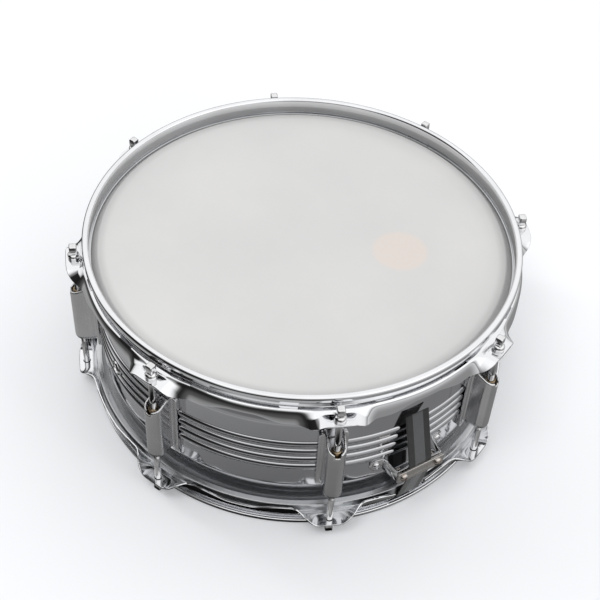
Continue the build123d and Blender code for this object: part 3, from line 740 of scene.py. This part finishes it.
batter_coating, coat, coat_shader = new_material("batter_coating")
set_inputs(coat_shader, Specular_IOR_Level=0.35, Coat_Weight=0.06, Coat_Roughness=0.3)
coat_place = add_node(coat, "ShaderNodeTexCoord")
coat_cloud = add_node(coat, "ShaderNodeTexNoise")
set_inputs(coat_cloud, Scale=9.0, Detail=5.0, Roughness=0.6)
coat_tone = colour_ramp(coat, [(0.3, (0.515, 0.512, 0.51)), (0.7, (0.55, 0.547, 0.542))])
# A faint warm round spot of painted light is mixed into the coating's colour, off the middle of the head.
painted_light_shift = add_node(coat, "ShaderNodeVectorMath", operation="SUBTRACT")
painted_light_shift.inputs[1].default_value = (0.052, 0.0653, 0.1524)
painted_light_reach = add_node(coat, "ShaderNodeVectorMath", operation="LENGTH")
painted_light_mask = add_node(coat, "ShaderNodeMapRange", interpolation_type="SMOOTHSTEP")
set_inputs(painted_light_mask, From_Min=0.0205, From_Max=0.0262, To_Min=0.6, To_Max=0.0)
painted_light_mix = add_node(coat, "ShaderNodeMix", data_type="RGBA")
painted_light_mix.inputs["B"].default_value = (0.60, 0.52, 0.465, 1)
# Just inside the hoop the coating is painted darker in a ring: painted shade from the hoop's wall over the
# head.
painted_shade_reach = add_node(coat, "ShaderNodeVectorMath", operation="MULTIPLY")
painted_shade_reach.inputs[1].default_value = (1, 1, 0)
painted_shade_radius = add_node(coat, "ShaderNodeVectorMath", operation="LENGTH")
painted_shade_ring = add_node(coat, "ShaderNodeMapRange", interpolation_type="SMOOTHSTEP")
set_inputs(painted_shade_ring, From_Min=0.1655, From_Max=0.1725, To_Min=1.0, To_Max=0.84)
painted_shade_mix = add_node(coat, "ShaderNodeMix", data_type="RGBA", blend_type="MULTIPLY")
painted_shade_mix.inputs["Factor"].default_value = 1.0
coat_grit = add_node(coat, "ShaderNodeTexNoise")
set_inputs(coat_grit, Scale=1400.0, Detail=3.0)
coat_rough = add_node(coat, "ShaderNodeMapRange")
set_inputs(coat_rough, From_Min=0.3, From_Max=0.7, To_Min=0.42, To_Max=0.6)
coat_relief = add_node(coat, "ShaderNodeBump")
set_inputs(coat_relief, Strength=0.12, Distance=0.0002)
for target in (coat_cloud, coat_grit):
    wire(coat, (coat_place, "Object", target, "Vector"))
wire(
    coat,
    (coat_place, "Object", painted_light_shift, 0),
    (coat_place, "Object", painted_shade_reach, 0),
    (coat_cloud, 0, coat_tone, 0),
    (painted_light_shift, 0, painted_light_reach, 0),
    (painted_light_reach, "Value", painted_light_mask, "Value"),
    (painted_light_mask, 0, painted_light_mix, "Factor"),
    (coat_tone, 0, painted_light_mix, "A"),
    (painted_shade_reach, 0, painted_shade_radius, 0),
    (painted_shade_radius, "Value", painted_shade_ring, "Value"),
    (painted_light_mix, "Result", painted_shade_mix, "A"),
    (painted_shade_ring, 0, painted_shade_mix, "B"),
    (painted_shade_mix, "Result", coat_shader, "Base Color"),
    (coat_grit, 0, coat_rough, "Value"),
    (coat_rough, 0, coat_shader, "Roughness"),
    (coat_grit, 0, coat_relief, "Height"),
    (coat_relief, 0, coat_shader, "Normal"),
)
batter_film = film_mesh("batter_film", 0.3)
piece("batter_film", batter_film, batter_coating, "drum", ["batter_head_film"])

clear_film, haze, haze_shader = new_material("clear_film")
set_inputs(haze_shader, Base_Color=(0.82, 0.84, 0.86, 1), Specular_IOR_Level=0.6)
haze_place = add_node(haze, "ShaderNodeTexCoord")
haze_cloud = add_node(haze, "ShaderNodeTexNoise")
set_inputs(haze_cloud, Scale=12.0, Detail=4.0)
haze_rough = add_node(haze, "ShaderNodeMapRange")
set_inputs(haze_rough, From_Min=0.3, From_Max=0.7, To_Min=0.16, To_Max=0.3)
haze_clear = add_node(haze, "ShaderNodeMapRange")
set_inputs(haze_clear, From_Min=0.3, From_Max=0.7, To_Min=0.26, To_Max=0.34)
wire(
    haze,
    (haze_place, "Object", haze_cloud, "Vector"),
    (haze_cloud, 0, haze_rough, "Value"),
    (haze_cloud, 0, haze_clear, "Value"),
    (haze_rough, 0, haze_shader, "Roughness"),
    (haze_clear, 0, haze_shader, "Alpha"),
)
snare_film = film_mesh("snare_side_film", 0.2, upside_down=True)
piece("snare_side_film", snare_film, clear_film, "drum", ["snare_head_film"])

ring_corners = [
    (ring_inner, ring_high), (ring_outer, ring_high), (ring_outer, ring_low), (ring_inner, ring_low)
]
ring_outline = eased([(ring_inner, 145)] + ring_corners + [(ring_inner, 144)], 0.8, 3)
ring_metal = plating("ring_metal", (0.62, 0.63, 0.64), 0.22, 0.38, stretch=(0.1, 0.1, 4), patch=20)
upper_ring = skin("batter_ring", turned([tuple(point) for point in ring_outline], 240))
lower_ring = skin("snare_ring", turned([(r, drum_height - z) for r, z in ring_outline], 240))
piece("batter_ring", upper_ring, ring_metal, "drum", ["batter_head_ring"])
piece("snare_ring", lower_ring, ring_metal, "drum", ["snare_head_ring"])


# ---- Lugs ----
# Hollow zinc castings in satin chrome, one a rod pair, held by two screws from inside the shell.
# Casting leaves every corner soft, so the skin is drawn again at a casting's scale and rubbed down.
def copied(node, turn=0):
    """A merged copy of a CAD node's mesh, turned back by an angle about the drum's axis."""
    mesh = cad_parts[node].data.copy()
    mesh.transform(Matrix.Rotation(math.radians(-turn), 4, "Z"))
    work = bmesh.new()
    work.from_mesh(mesh)
    bmesh.ops.remove_doubles(work, verts=work.verts, dist=2e-6)
    work.to_mesh(mesh)
    work.free()
    return mesh


lug_mesh = copied("lug_casting_1", lug_angles[0])
lug_mesh = baked(lug_mesh, "REMESH", mode="VOXEL", voxel_size=0.62 * MM)
lug_mesh = baked(lug_mesh, "SMOOTH", crease=75, factor=0.5, iterations=7)
lug_satin = plating(
    "lug_satin", (0.70, 0.70, 0.71), 0.17, 0.25, stretch=(3, 3, 0.05), patch=25, line=180, grain=0.012
)
for number, angle in enumerate(lug_angles, start=1):
    casting = lug_mesh.copy()
    casting.transform(Matrix.Rotation(math.radians(angle), 4, "Z"))
    piece(f"lug_{number}", casting, lug_satin, "drum", [f"lug_casting_{number}"])


# ---- Swivel nuts, washers and lug screws ----
# Each lug holds two brass nuts with a hexagon shoulder, and two steel screws with washers hold it to
# the shell. They repeat round the drum, so one of each is made at +X and repeated by Geometry Nodes.
def make_repeat_tree():
    """Repeats the mesh it is given round the drum's axis."""
    tree = bpy.data.node_groups.new("repeat_round_axis", "GeometryNodeTree")
    add_sockets(tree, "INPUT", "Geometry", Item=None)
    add_sockets(tree, "INPUT", "Int", Count=8)
    add_sockets(tree, "INPUT", "Float", Start_Angle=0.0, Step_Angle=45.0)
    add_sockets(tree, "INPUT", "Material", Finish=None)
    add_sockets(tree, "OUTPUT", "Geometry", Items=None)
    source = add_node(tree, "NodeGroupInput")
    result = add_node(tree, "NodeGroupOutput")
    line = add_node(tree, "GeometryNodeMeshLine")
    line.inputs["Offset"].default_value = (0, 0, 0)
    number = add_node(tree, "GeometryNodeInputIndex")
    turn = add_node(tree, "ShaderNodeMath", operation="MULTIPLY_ADD")
    radians = add_node(tree, "ShaderNodeMath", operation="RADIANS")
    axis = add_node(tree, "ShaderNodeCombineXYZ")
    rotation = add_node(tree, "FunctionNodeEulerToRotation")
    instances = add_node(tree, "GeometryNodeInstanceOnPoints")
    real = add_node(tree, "GeometryNodeRealizeInstances")
    finish = add_node(tree, "GeometryNodeSetMaterial")
    wire(
        tree,
        (source, "Count", line, "Count"),
        (number, 0, turn, 0),
        (source, "Step Angle", turn, 1),
        (source, "Start Angle", turn, 2),
        (turn, 0, radians, 0),
        (radians, 0, axis, "Z"),
        (axis, 0, rotation, 0),
        (line, 0, instances, "Points"),
        (source, "Item", instances, "Instance"),
        (rotation, 0, instances, "Rotation"),
        (instances, 0, real, 0),
        (real, 0, finish, "Geometry"),
        (source, "Finish", finish, "Material"),
        (finish, 0, result, "Items"),
    )
    return tree


repeat_round_axis = make_repeat_tree()


def grown(mesh, tree, material, crease=35, **values):
    """The mesh that a Geometry Nodes tree makes from this mesh and these named inputs."""
    holder = linked("work", mesh)
    modifier = holder.modifiers.new("work", "NODES")
    modifier.node_group = tree
    values["Finish"] = material
    for item in tree.interface.items_tree:
        label = item.name.replace(" ", "_")
        if item.item_type == "SOCKET" and item.in_out == "INPUT" and label in values:
            modifier[item.identifier] = values[label]
    return applied(holder, crease)


def round_drum(mesh, material):
    """The mesh at +X, repeated at every lug."""
    settings = {"Count": len(lug_angles), "Start_Angle": lug_angles[0], "Step_Angle": 45.0}
    return grown(mesh, repeat_round_axis, material, **settings)


def hexagon(angle):
    """How far a hexagon's side stands from its middle, against its corners."""
    return math.cos(math.pi / 6) / math.cos(angle % (math.pi / 3) - math.pi / 6)


def swivel_nut(flip):
    """A hexagon shoulder and a round neck, bored through, upright or mirrored about mid height."""
    shoulder = [(2.85, 97.0), (4.6, 97.0), (5.0, 97.4), (5.0, 102.7), (4.7, 103.0), (2.85, 103.0)]
    neck = [(2.85, 103.0), (4.2, 103.0), (4.2, 111.1), (3.8, 111.5), (3.2, 111.5), (2.85, 111.1)]
    set_height = (lambda z: drum_height - z) if flip else (lambda z: z)
    parts = []
    for profile, outline in ((shoulder, hexagon), (neck, None)):
        if flip and outline is None:
            continue
        heights = [(r, set_height(z)) for r, z in profile]
        parts.append(skin("nut", ring_about((rod_circle, 0, 0), (0, 0, 1), heights, 36, outline)))
    return merged("nut", *parts)


nut_brass = plating(
    "nut_brass", (0.52, 0.41, 0.27), 0.24, 0.42, patch=180, line=900, grain=0.05, darker=(0.30, 0.22, 0.14)
)
nuts = round_drum(merged("nuts", swivel_nut(False), swivel_nut(True)), nut_brass)
piece("swivel_nuts", nuts, nut_brass, "drum", ["lug_swivel_nuts"])


def washer(origin, axis, hole, radius, thickness, bevel=0.3):
    """A flat washer whose lower face is at the origin."""
    profile = [
        (hole, bevel), (hole + bevel, 0), (radius - bevel, 0), (radius, bevel),
        (radius, thickness - bevel), (radius - bevel, thickness),
        (hole + bevel, thickness), (hole, thickness - bevel),
    ]
    return skin("washer", ring_about(origin, axis, profile, 40))


rod_chrome = plating("rod_chrome", (0.78, 0.78, 0.785), 0.05, 0.14, patch=90, line=900)
washer_pair = merged(
    "washer_pair",
    washer((rod_circle, 0, ear_top), (0, 0, 1), 3.15, 5.0, 1.4),
    washer((rod_circle, 0, drum_height - ear_top), (0, 0, -1), 3.15, 5.0, 1.4),
)
washers = round_drum(washer_pair, rod_chrome)
piece("ear_washers", washers, rod_chrome, "drum", ["rod_washers"])


def pan_screw(seat, axis, shank_length, turn=0.0):
    """A domed screw with a cross recess. The head stands on the seat, the shank goes back from it."""
    shank_radius, head_radius, head_height, rim = 1.9, 3.6, 2.3, 0.25
    profile = [
        (0.02, -shank_length), (shank_radius - 0.4, -shank_length), (shank_radius, 0.5 - shank_length),
        (shank_radius, 0.0), (head_radius, 0.0), (head_radius, rim),
    ]
    for step in range(1, 9):
        along = math.radians(90 * step / 9)
        height = rim + (head_height - rim) * math.sin(along)
        profile.append((head_radius * math.cos(along) ** 0.8, height))
    profile.append((0.02, head_height))
    body = skin("screw", ring_about((0, 0, 0), (0, 0, 1), profile, 40), ring=False)
    work = bmesh.new()
    for quarter in (0, 90):
        size = Matrix.Diagonal((head_radius * 1.15 * MM, 0.85 * MM, 1.6 * MM, 1))
        spin = Matrix.Rotation(math.radians(quarter + turn), 4, "Z")
        place = Matrix.Translation((0, 0, (head_height - rim) * MM))
        bmesh.ops.create_cube(work, size=1, matrix=place @ spin @ size)
    bmesh.ops.create_cone(
        work, cap_ends=True, segments=16, radius1=0.2 * MM, radius2=1.0 * MM, depth=1.7 * MM,
        matrix=Matrix.Translation((0, 0, (head_height - 0.4) * MM)),
    )
    body = cut(body, as_mesh(work, "cross"), crossing=True)
    aim = Vector(axis).normalized().to_track_quat("Z", "Y").to_matrix().to_4x4()
    body.transform(Matrix.Translation(Vector(seat) * MM) @ aim)
    return body


screw_steel = plating(
    "screw_steel", (0.70, 0.68, 0.66), 0.10, 0.28, patch=220, line=900, grain=0.04, darker=(0.52, 0.43, 0.37)
)
screw_seat = shell_radius - shell_wall - 1.1
lug_screw_pair = merged("lug_screw_pair", *[
    pan_screw((screw_seat, 0, mid_height + rise), (-1, 0, 0), 11.3) for rise in lug_screw_rises
])
lug_screws = round_drum(lug_screw_pair, screw_steel)
piece("lug_screws", lug_screws, screw_steel, "drum", ["lug_mounting_screws"])
inner_washer_pair = merged("inner_washer_pair", *[
    washer((screw_seat, 0, mid_height + rise), (1, 0, 0), 2.1, 4.6, 1.0, 0.2) for rise in lug_screw_rises
])
inner_washers = round_drum(inner_washer_pair, screw_steel)
piece("lug_inner_washers", inner_washers, screw_steel, "drum", ["lug_screw_washers"])


# ---- Tension rods ----
# Turned steel, plated: a square head for a drum key on a round collar, a plain shank, and a rolled
# thread at the tip that runs in the swivel nut. Eight hold each hoop down.
def squared(angle):
    """A square's side against its half width, with its corners taken off."""
    return min(1 / max(abs(math.cos(angle)), abs(math.sin(angle))), 1.31)


def tension_rod():
    """One upper rod at +X, as rings from its tip up to its head."""
    sides = 32
    pitch, thread_depth, thread_end = 1.06, 0.42, 119.0
    shank, tip = 2.8, 97.0
    origin = Vector((rod_circle, 0, 0))
    rings = []

    def add_ring(height, size):
        ring = []
        for step in range(sides):
            angle = 2 * math.pi * step / sides
            r = size(angle)
            ring.append(origin + Vector((r * math.cos(angle), r * math.sin(angle), height)))
        rings.append(ring)

    add_ring(tip, lambda angle: 1.7)
    rows = int((thread_end - tip) / pitch * 6)
    for row in range(rows + 1):
        height = tip + 0.25 + (thread_end - tip - 0.25) * row / rows
        fade = min(1.0, (rows - row) / 5)
        start = 0.75 + 0.25 * min(1.0, row / 6)

        def thread(angle, height=height, fade=fade, start=start):
            turn = (height / pitch - angle / (2 * math.pi)) % 1
            return (shank - thread_depth * fade * abs(2 * turn - 1)) * start

        add_ring(height, thread)
    collar = [
        (145.0, shank), (150.2, shank), (150.2, 4.7), (150.5, 5.0), (151.5, 5.0), (152.3, 4.75), (153.0, 4.2)
    ]
    for height, radius in collar:
        add_ring(height, lambda angle, radius=radius: radius)
    head = [(153.4, 3.05), (153.8, 3.175), (160.9, 3.175), (161.6, 2.75), (161.8, 2.3)]
    for height, half in head:
        add_ring(height, lambda angle, half=half: half * squared(angle))
    return skin("tension_rod", rings, ring=False)


upper_rod = tension_rod()
lower_rod = upper_rod.copy()
lower_rod.transform(Matrix.Translation((0, 0, drum_height * MM)) @ Matrix.Diagonal((1, 1, -1, 1)))
tidy(lower_rod)
for head, rod in (("batter", upper_rod), ("snare", lower_rod)):
    for number, angle in enumerate(lug_angles, start=1):
        placed = rod.copy()
        placed.transform(Matrix.Rotation(math.radians(angle), 4, "Z"))
        node = f"tension_rod_{head}_{number}"
        piece(f"{head}_rod_{number}", placed, rod_chrome, node, [node])


# ---- Butt plate ----
# A bracket bent from plated strip, screwed to the shell through two round feet, and a flat plate
# that pinches the strap against its face with two screws. Stamped edges are broken by tumbling.
def stamped(node, bevel=0.3):
    """A copy of a CAD node with its flats made whole and its edges rounded."""
    mesh = copied(node)
    work = bmesh.new()
    work.from_mesh(mesh)
    bmesh.ops.dissolve_limit(
        work, angle_limit=math.radians(3), verts=work.verts, edges=work.edges, use_dissolve_boundaries=False
    )
    work.to_mesh(mesh)
    work.free()
    return baked(
        mesh, "BEVEL", crease=40, width=bevel * MM, segments=2, limit_method="ANGLE",
        angle_limit=math.radians(38), harden_normals=False, use_clamp_overlap=True,
    )


fitting_chrome = plating("fitting_chrome", (0.74, 0.74, 0.745), 0.05, 0.14, patch=70, line=700)
clamp_nickel = plating(
    "clamp_nickel", (0.66, 0.63, 0.60), 0.22, 0.34, stretch=(1, 0.15, 2), patch=70, line=400, grain=0.05
)
for name, node, material in (
    ("butt_bracket_strip", "butt_bracket", fitting_chrome),
    ("butt_clamp", "butt_clamp_plate", clamp_nickel),
):
    piece(name, stamped(node), material, "drum", [node])

butt_face, clamp_gap, clamp_plate_thickness, clamp_screw_spacing = 193.4, 1.3, 2.0, 33.5
clamp_front = butt_face + clamp_gap + clamp_plate_thickness
clamp_pair = merged("clamp_pair", *[
    pan_screw((clamp_front, side * clamp_screw_spacing / 2, butt_height), (1, 0, 0), 10, 30 * side + 15)
    for side in (-1, 1)
])
piece("butt_clamp_screws_pair", clamp_pair, screw_steel, "drum", ["butt_clamp_screws"])
foot_pair = merged("foot_pair", *[
    pan_screw(polar(angle, shell_radius + 1.6, butt_height), polar(angle, 1, 0), 8)
    for angle in (-butt_screw_angle, butt_screw_angle)
])
piece("butt_foot_screws", foot_pair, bright_plating, "drum", ["butt_mounting_screws"])


# ---- Straps ----
# Woven black ribbon with a grey stripe down its middle. It is threaded through the slot of the end
# plate, goes out over the curled rim through the gate and up into the clamp, and its tail is left.
strap_width, strap_thickness = 22.0, 1.2


def strap_mesh(name, points, turn=0):
    """Ribbon along points of radius and height, with its cords as ridges, and a UV map in mm."""
    line = eased(points, 3.2, 8)
    fine = [line[0]]
    for start, end in zip(line, line[1:]):
        parts = max(1, int((end - start).length / 1.5))
        fine += [start.lerp(end, part / parts) for part in range(1, parts + 1)]
    ridges, half = 44, strap_width / 2
    across = []
    for step in range(ridges * 2 + 1):
        side = -half + strap_width * step / (ridges * 2)
        rim = min(1.0, (half - abs(side)) / 0.8)
        lift = strap_thickness / 2 * (0.35 + 0.55 * math.sqrt(rim)) + (0.06 if step % 2 else 0.0)
        across.append((side, lift))
    outline = across + [(side, -lift) for side, lift in reversed(across)]
    points_out, run, runs = [], 0.0, []
    last = len(fine) - 1
    for i, point in enumerate(fine):
        if i:
            run += (point - fine[i - 1]).length
        runs.append(run)
        along = (fine[min(i + 1, last)] - fine[max(i - 1, 0)]).normalized()
        side_way = Vector((-along.y, along.x))
        ring = []
        for side, lift in outline:
            place = point + side_way * lift
            ring.append((place.x, side, place.y))
        points_out.append(ring)
    mesh = skin(name, points_out, ring=False)
    uv = mesh.uv_layers.new(name="weave")
    rows = {}
    for loop in mesh.loops:
        co = mesh.vertices[loop.vertex_index].co / MM
        key = loop.vertex_index
        if key not in rows:
            near = min(range(len(fine)), key=lambda i: (fine[i].x - co.x) ** 2 + (fine[i].y - co.z) ** 2)
            rows[key] = (co.y, runs[near])
        uv.data[loop.index].uv = rows[key]
    mesh.transform(Matrix.Rotation(math.radians(turn), 4, "Z"))
    return mesh


strap_weave, weave, weave_shader = new_material("strap_weave")
set_inputs(weave_shader, Specular_IOR_Level=0.35, Sheen_Weight=0.25, Sheen_Roughness=0.5)
weave_uv = add_node(weave, "ShaderNodeUVMap", uv_map="weave")
weave_split = add_node(weave, "ShaderNodeSeparateXYZ")
weave_side = add_node(weave, "ShaderNodeMath", operation="ABSOLUTE")
stripe_mask = add_node(weave, "ShaderNodeMapRange")
set_inputs(stripe_mask, From_Min=5.1, From_Max=4.8, To_Min=0.0, To_Max=1.0)
weft = add_node(weave, "ShaderNodeTexWave", bands_direction="Y")
set_inputs(weft, Scale=0.35, Distortion=0.6, Detail=1.0)
warp = add_node(weave, "ShaderNodeTexWave", bands_direction="X")
set_inputs(warp, Scale=0.31, Distortion=0.3)
cords = add_node(weave, "ShaderNodeMath", operation="MULTIPLY")
thread_tone = add_node(weave, "ShaderNodeMapRange")
set_inputs(thread_tone, To_Min=0.55, To_Max=1.1)
stripe_mix = add_node(weave, "ShaderNodeMix", data_type="RGBA")
stripe_mix.inputs["A"].default_value = (0.012, 0.012, 0.013, 1)
stripe_mix.inputs["B"].default_value = (0.095, 0.097, 0.10, 1)
thread_mix = add_node(weave, "ShaderNodeMix", data_type="RGBA", blend_type="MULTIPLY")
thread_mix.inputs["Factor"].default_value = 1.0
weave_rough = add_node(weave, "ShaderNodeMapRange")
set_inputs(weave_rough, To_Min=0.78, To_Max=0.6)
weave_relief = add_node(weave, "ShaderNodeBump")
set_inputs(weave_relief, Strength=0.5, Distance=0.0003)
wire(
    weave,
    (weave_uv, 0, weave_split, 0),
    (weave_split, "X", weave_side, 0),
    (weave_side, 0, stripe_mask, "Value"),
    (weave_uv, 0, weft, "Vector"),
    (weave_uv, 0, warp, "Vector"),
    (weft, "Fac", cords, 0),
    (warp, "Fac", cords, 1),
    (cords, 0, thread_tone, "Value"),
    (cords, 0, weave_rough, "Value"),
    (cords, 0, weave_relief, "Height"),
    (stripe_mask, 0, stripe_mix, "Factor"),
    (stripe_mix, "Result", thread_mix, "A"),
    (thread_tone, 0, thread_mix, "B"),
    (thread_mix, "Result", weave_shader, "Base Color"),
    (weave_rough, 0, weave_shader, "Roughness"),
    (weave_relief, 0, weave_shader, "Normal"),
)


def strap_route(face, clamp_top):
    """From under the end plate, over the rim and up the clamp's face to this height."""
    middle = face + strap_thickness / 2 + 0.05
    return [(156.0, 8.3), (166.0, 8.3), (174.5, 11.2), (185.2, 11.2), (middle, 49.5), (middle, clamp_top)]


butt_tail = [(180.0, 113.0)]
butt_ribbon = strap_mesh("butt_ribbon", strap_route(butt_face, 65.0) + butt_tail)
piece("butt_ribbon", butt_ribbon, strap_weave, "drum", ["butt_strap"])
block_face = 195.3
throw_ribbon = strap_mesh("throwoff_ribbon", strap_route(block_face, 77.0), 180)
piece("throwoff_ribbon", throw_ribbon, strap_weave, "clamp_block", ["throwoff_strap"])


# ---- Snare wires ----
# Twenty strands of coiled steel wire under the snare-side head, soldered to a plate at each end.
def make_strand_tree():
    """A row of coiled strands along X."""
    tree = bpy.data.node_groups.new("coiled_strands", "GeometryNodeTree")
    add_sockets(tree, "INPUT", "Geometry", Item=None)
    add_sockets(tree, "INPUT", "Float", Length=0.3, Coil_Radius=0.0007, Wire_Radius=0.0002)
    add_sockets(tree, "INPUT", "Float", Spacing=0.0022, Height=0.011, Turns=100.0)
    add_sockets(tree, "INPUT", "Int", Strands=20)
    add_sockets(tree, "INPUT", "Material", Finish=None)
    add_sockets(tree, "OUTPUT", "Geometry", Items=None)
    source = add_node(tree, "NodeGroupInput")
    result = add_node(tree, "NodeGroupOutput")
    coil = add_node(tree, "GeometryNodeCurveSpiral")
    coil.inputs["Resolution"].default_value = 7
    ring = add_node(tree, "GeometryNodeCurvePrimitiveCircle")
    ring.inputs["Resolution"].default_value = 4
    tube = add_node(tree, "GeometryNodeCurveToMesh")
    tube.inputs["Fill Caps"].default_value = True
    lay = add_node(tree, "GeometryNodeTransform")
    lay.inputs["Rotation"].default_value = (0, math.pi / 2, 0)
    half = add_node(tree, "ShaderNodeMath", operation="MULTIPLY")
    half.inputs[1].default_value = -0.5
    shift = add_node(tree, "ShaderNodeCombineXYZ")
    row = add_node(tree, "GeometryNodeMeshLine")
    row_offset = add_node(tree, "ShaderNodeCombineXYZ")
    row_start = add_node(tree, "ShaderNodeCombineXYZ")
    less_one = add_node(tree, "ShaderNodeMath", operation="SUBTRACT")
    less_one.inputs[1].default_value = 1
    row_length = add_node(tree, "ShaderNodeMath", operation="MULTIPLY")
    row_half = add_node(tree, "ShaderNodeMath", operation="MULTIPLY")
    row_half.inputs[1].default_value = -0.5
    copies = add_node(tree, "GeometryNodeInstanceOnPoints")
    real = add_node(tree, "GeometryNodeRealizeInstances")
    finish = add_node(tree, "GeometryNodeSetMaterial")
    wire(
        tree,
        (source, "Turns", coil, "Rotations"),
        (source, "Coil Radius", coil, "Start Radius"),
        (source, "Coil Radius", coil, "End Radius"),
        (source, "Length", coil, "Height"),
        (source, "Wire Radius", ring, "Radius"),
        (coil, 0, tube, "Curve"),
        (ring, 0, tube, "Profile Curve"),
        (tube, 0, lay, "Geometry"),
        (source, "Length", half, 0),
        (half, 0, shift, "X"),
        (shift, 0, lay, "Translation"),
        (source, "Strands", row, "Count"),
        (source, "Spacing", row_offset, "Y"),
        (row_offset, 0, row, "Offset"),
        (source, "Strands", less_one, 0),
        (less_one, 0, row_length, 0),
        (source, "Spacing", row_length, 1),
        (row_length, 0, row_half, 0),
        (row_half, 0, row_start, "Y"),
        (source, "Height", row_start, "Z"),
        (row_start, 0, row, "Start Location"),
        (row, 0, copies, "Points"),
        (lay, 0, copies, "Instance"),
        (copies, 0, real, 0),
        (real, 0, finish, "Geometry"),
        (source, "Finish", finish, "Material"),
        (finish, 0, result, "Items"),
    )
    return tree


coiled_strands = make_strand_tree()
wire_steel = plating("wire_steel", (0.66, 0.66, 0.67), 0.15, 0.3, patch=150, line=600, grain=0.02)
wires = grown(
    bpy.data.meshes.new("wires"), coiled_strands, wire_steel, crease=80, Length=0.306, Coil_Radius=0.00066,
    Wire_Radius=0.00023, Spacing=0.0022, Height=0.011, Turns=165.0, Strands=20,
)
piece("snare_strands", wires, wire_steel, "snares", ["snare_wires"])
end_plate_steel = plating("end_plate_steel", (0.68, 0.68, 0.69), 0.12, 0.26, patch=80, line=500)
for node in ("snare_end_plate_butt", "snare_end_plate_throwoff"):
    piece(f"{node}_stamping", stamped(node, 0.15), end_plate_steel, "snares", [node])


# ---- Throw-off ----
# A cast base with two rails, a carriage that slides between them, a block that holds the strap clamp
# and hangs on a knurled tension knob, and a lever on a pin through the rails.
base_satin = plating(
    "base_satin", (0.68, 0.68, 0.69), 0.15, 0.25, stretch=(3, 3, 0.1), patch=30, line=180, grain=0.015
)
for name, node, bevel, material, body in (
    ("throwoff_rails", "throwoff_base", 0.45, base_satin, "drum"),
    ("throwoff_pin", "throwoff_pivot_pin", 0.2, fitting_chrome, "drum"),
    ("throwoff_slide", "throwoff_carriage", 0.35, base_satin, "carriage"),
    ("throwoff_block", "throwoff_clamp_block", 0.35, fitting_chrome, "clamp_block"),
    ("throwoff_clamp", "throwoff_clamp_plate", 0.3, clamp_nickel, "clamp_block"),
):
    piece(name, stamped(node, bevel), material, body, [node])
block_front = block_face + clamp_gap + clamp_plate_thickness
block_pair = merged("block_pair", *[
    pan_screw((-block_front, side * clamp_screw_spacing / 2, butt_height), (-1, 0, 0), 7, 20 * side)
    for side in (-1, 1)
])
block_nodes = ["throwoff_clamp_screws"]
piece("throwoff_clamp_screw_pair", block_pair, screw_steel, "clamp_block", block_nodes)
base_screws = merged("base_screws", *[
    pan_screw(polar(angle, screw_seat + 1, height), polar(angle, -1, 0), 5.5)
    for angle in (180 - base_screw_angle, 180 + base_screw_angle)
    for height in base_screw_heights
])
piece("throwoff_base_screws", base_screws, screw_steel, "drum", ["throwoff_mounting_screws"])
lever_mesh = stamped("throwoff_lever", 0.4)
piece("throwoff_lever_pressing", lever_mesh, fitting_chrome, "lever", ["throwoff_lever"])


# The knob is turned and then knurled, with a shallow dish in its top.
def knurled(angle):
    """The radius at this angle, against the full radius."""
    return 1 - 0.045 * (0.5 + 0.5 * math.cos(angle * 30))


spindle_place = (-188.0, 0, 0)
knob_profile = [(0.02, 110.0), (5.6, 110.0), (6.2, 110.5)]
knob_sides = ring_about(spindle_place, (0, 0, 1), knob_profile, 180)
knob_sides += ring_about(spindle_place, (0, 0, 1), [(6.55, 110.9), (6.55, 120.9)], 180, knurled)
knob_sides += ring_about(
    spindle_place, (0, 0, 1), [(6.2, 121.4), (5.7, 121.95), (5.2, 121.95), (4.6, 121.3), (0.02, 121.1)], 180
)
knob_mesh = skin("knurled_knob", knob_sides, ring=False)
piece("knurled_knob", knob_mesh, fitting_chrome, "knob", ["tension_knob"])
spindle_profile = [(0.02, 66.0), (1.7, 66.0), (2.0, 66.3)]
for turn_number in range(40):
    spindle_profile += [(2.0, 66.5 + turn_number), (1.75, 67.0 + turn_number)]
spindle_profile += [(2.0, 107.0), (2.0, 113.7), (0.02, 113.7)]
spindle_mesh = skin("spindle", ring_about(spindle_place, (0, 0, 1), spindle_profile, 28), ring=False)
piece("threaded_spindle", spindle_mesh, rod_chrome, "knob", ["tension_spindle"])

# The grip is a moulded rubber pad on the lever's face.
grip_rubber, rubber, rubber_shader = new_material("grip_rubber")
set_inputs(rubber_shader, Specular_IOR_Level=0.35)
rubber_place = add_node(rubber, "ShaderNodeTexCoord")
rubber_grain = add_node(rubber, "ShaderNodeTexNoise")
set_inputs(rubber_grain, Scale=900.0, Detail=3.0)
rubber_tone = colour_ramp(rubber, [(0.3, 0.014), (0.7, 0.024)])
rubber_rough = add_node(rubber, "ShaderNodeMapRange")
set_inputs(rubber_rough, To_Min=0.5, To_Max=0.75)
rubber_relief = add_node(rubber, "ShaderNodeBump")
set_inputs(rubber_relief, Strength=0.3, Distance=0.0002)
wire(
    rubber,
    (rubber_place, "Object", rubber_grain, "Vector"),
    (rubber_grain, 0, rubber_tone, 0),
    (rubber_grain, 0, rubber_rough, "Value"),
    (rubber_grain, 0, rubber_relief, "Height"),
    (rubber_tone, 0, rubber_shader, "Base Color"),
    (rubber_rough, 0, rubber_shader, "Roughness"),
    (rubber_relief, 0, rubber_shader, "Normal"),
)
grip_mesh = stamped("throwoff_lever_grip", 0.4)
piece("lever_grip", grip_mesh, grip_rubber, "lever", ["throwoff_lever_grip"])

low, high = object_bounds()
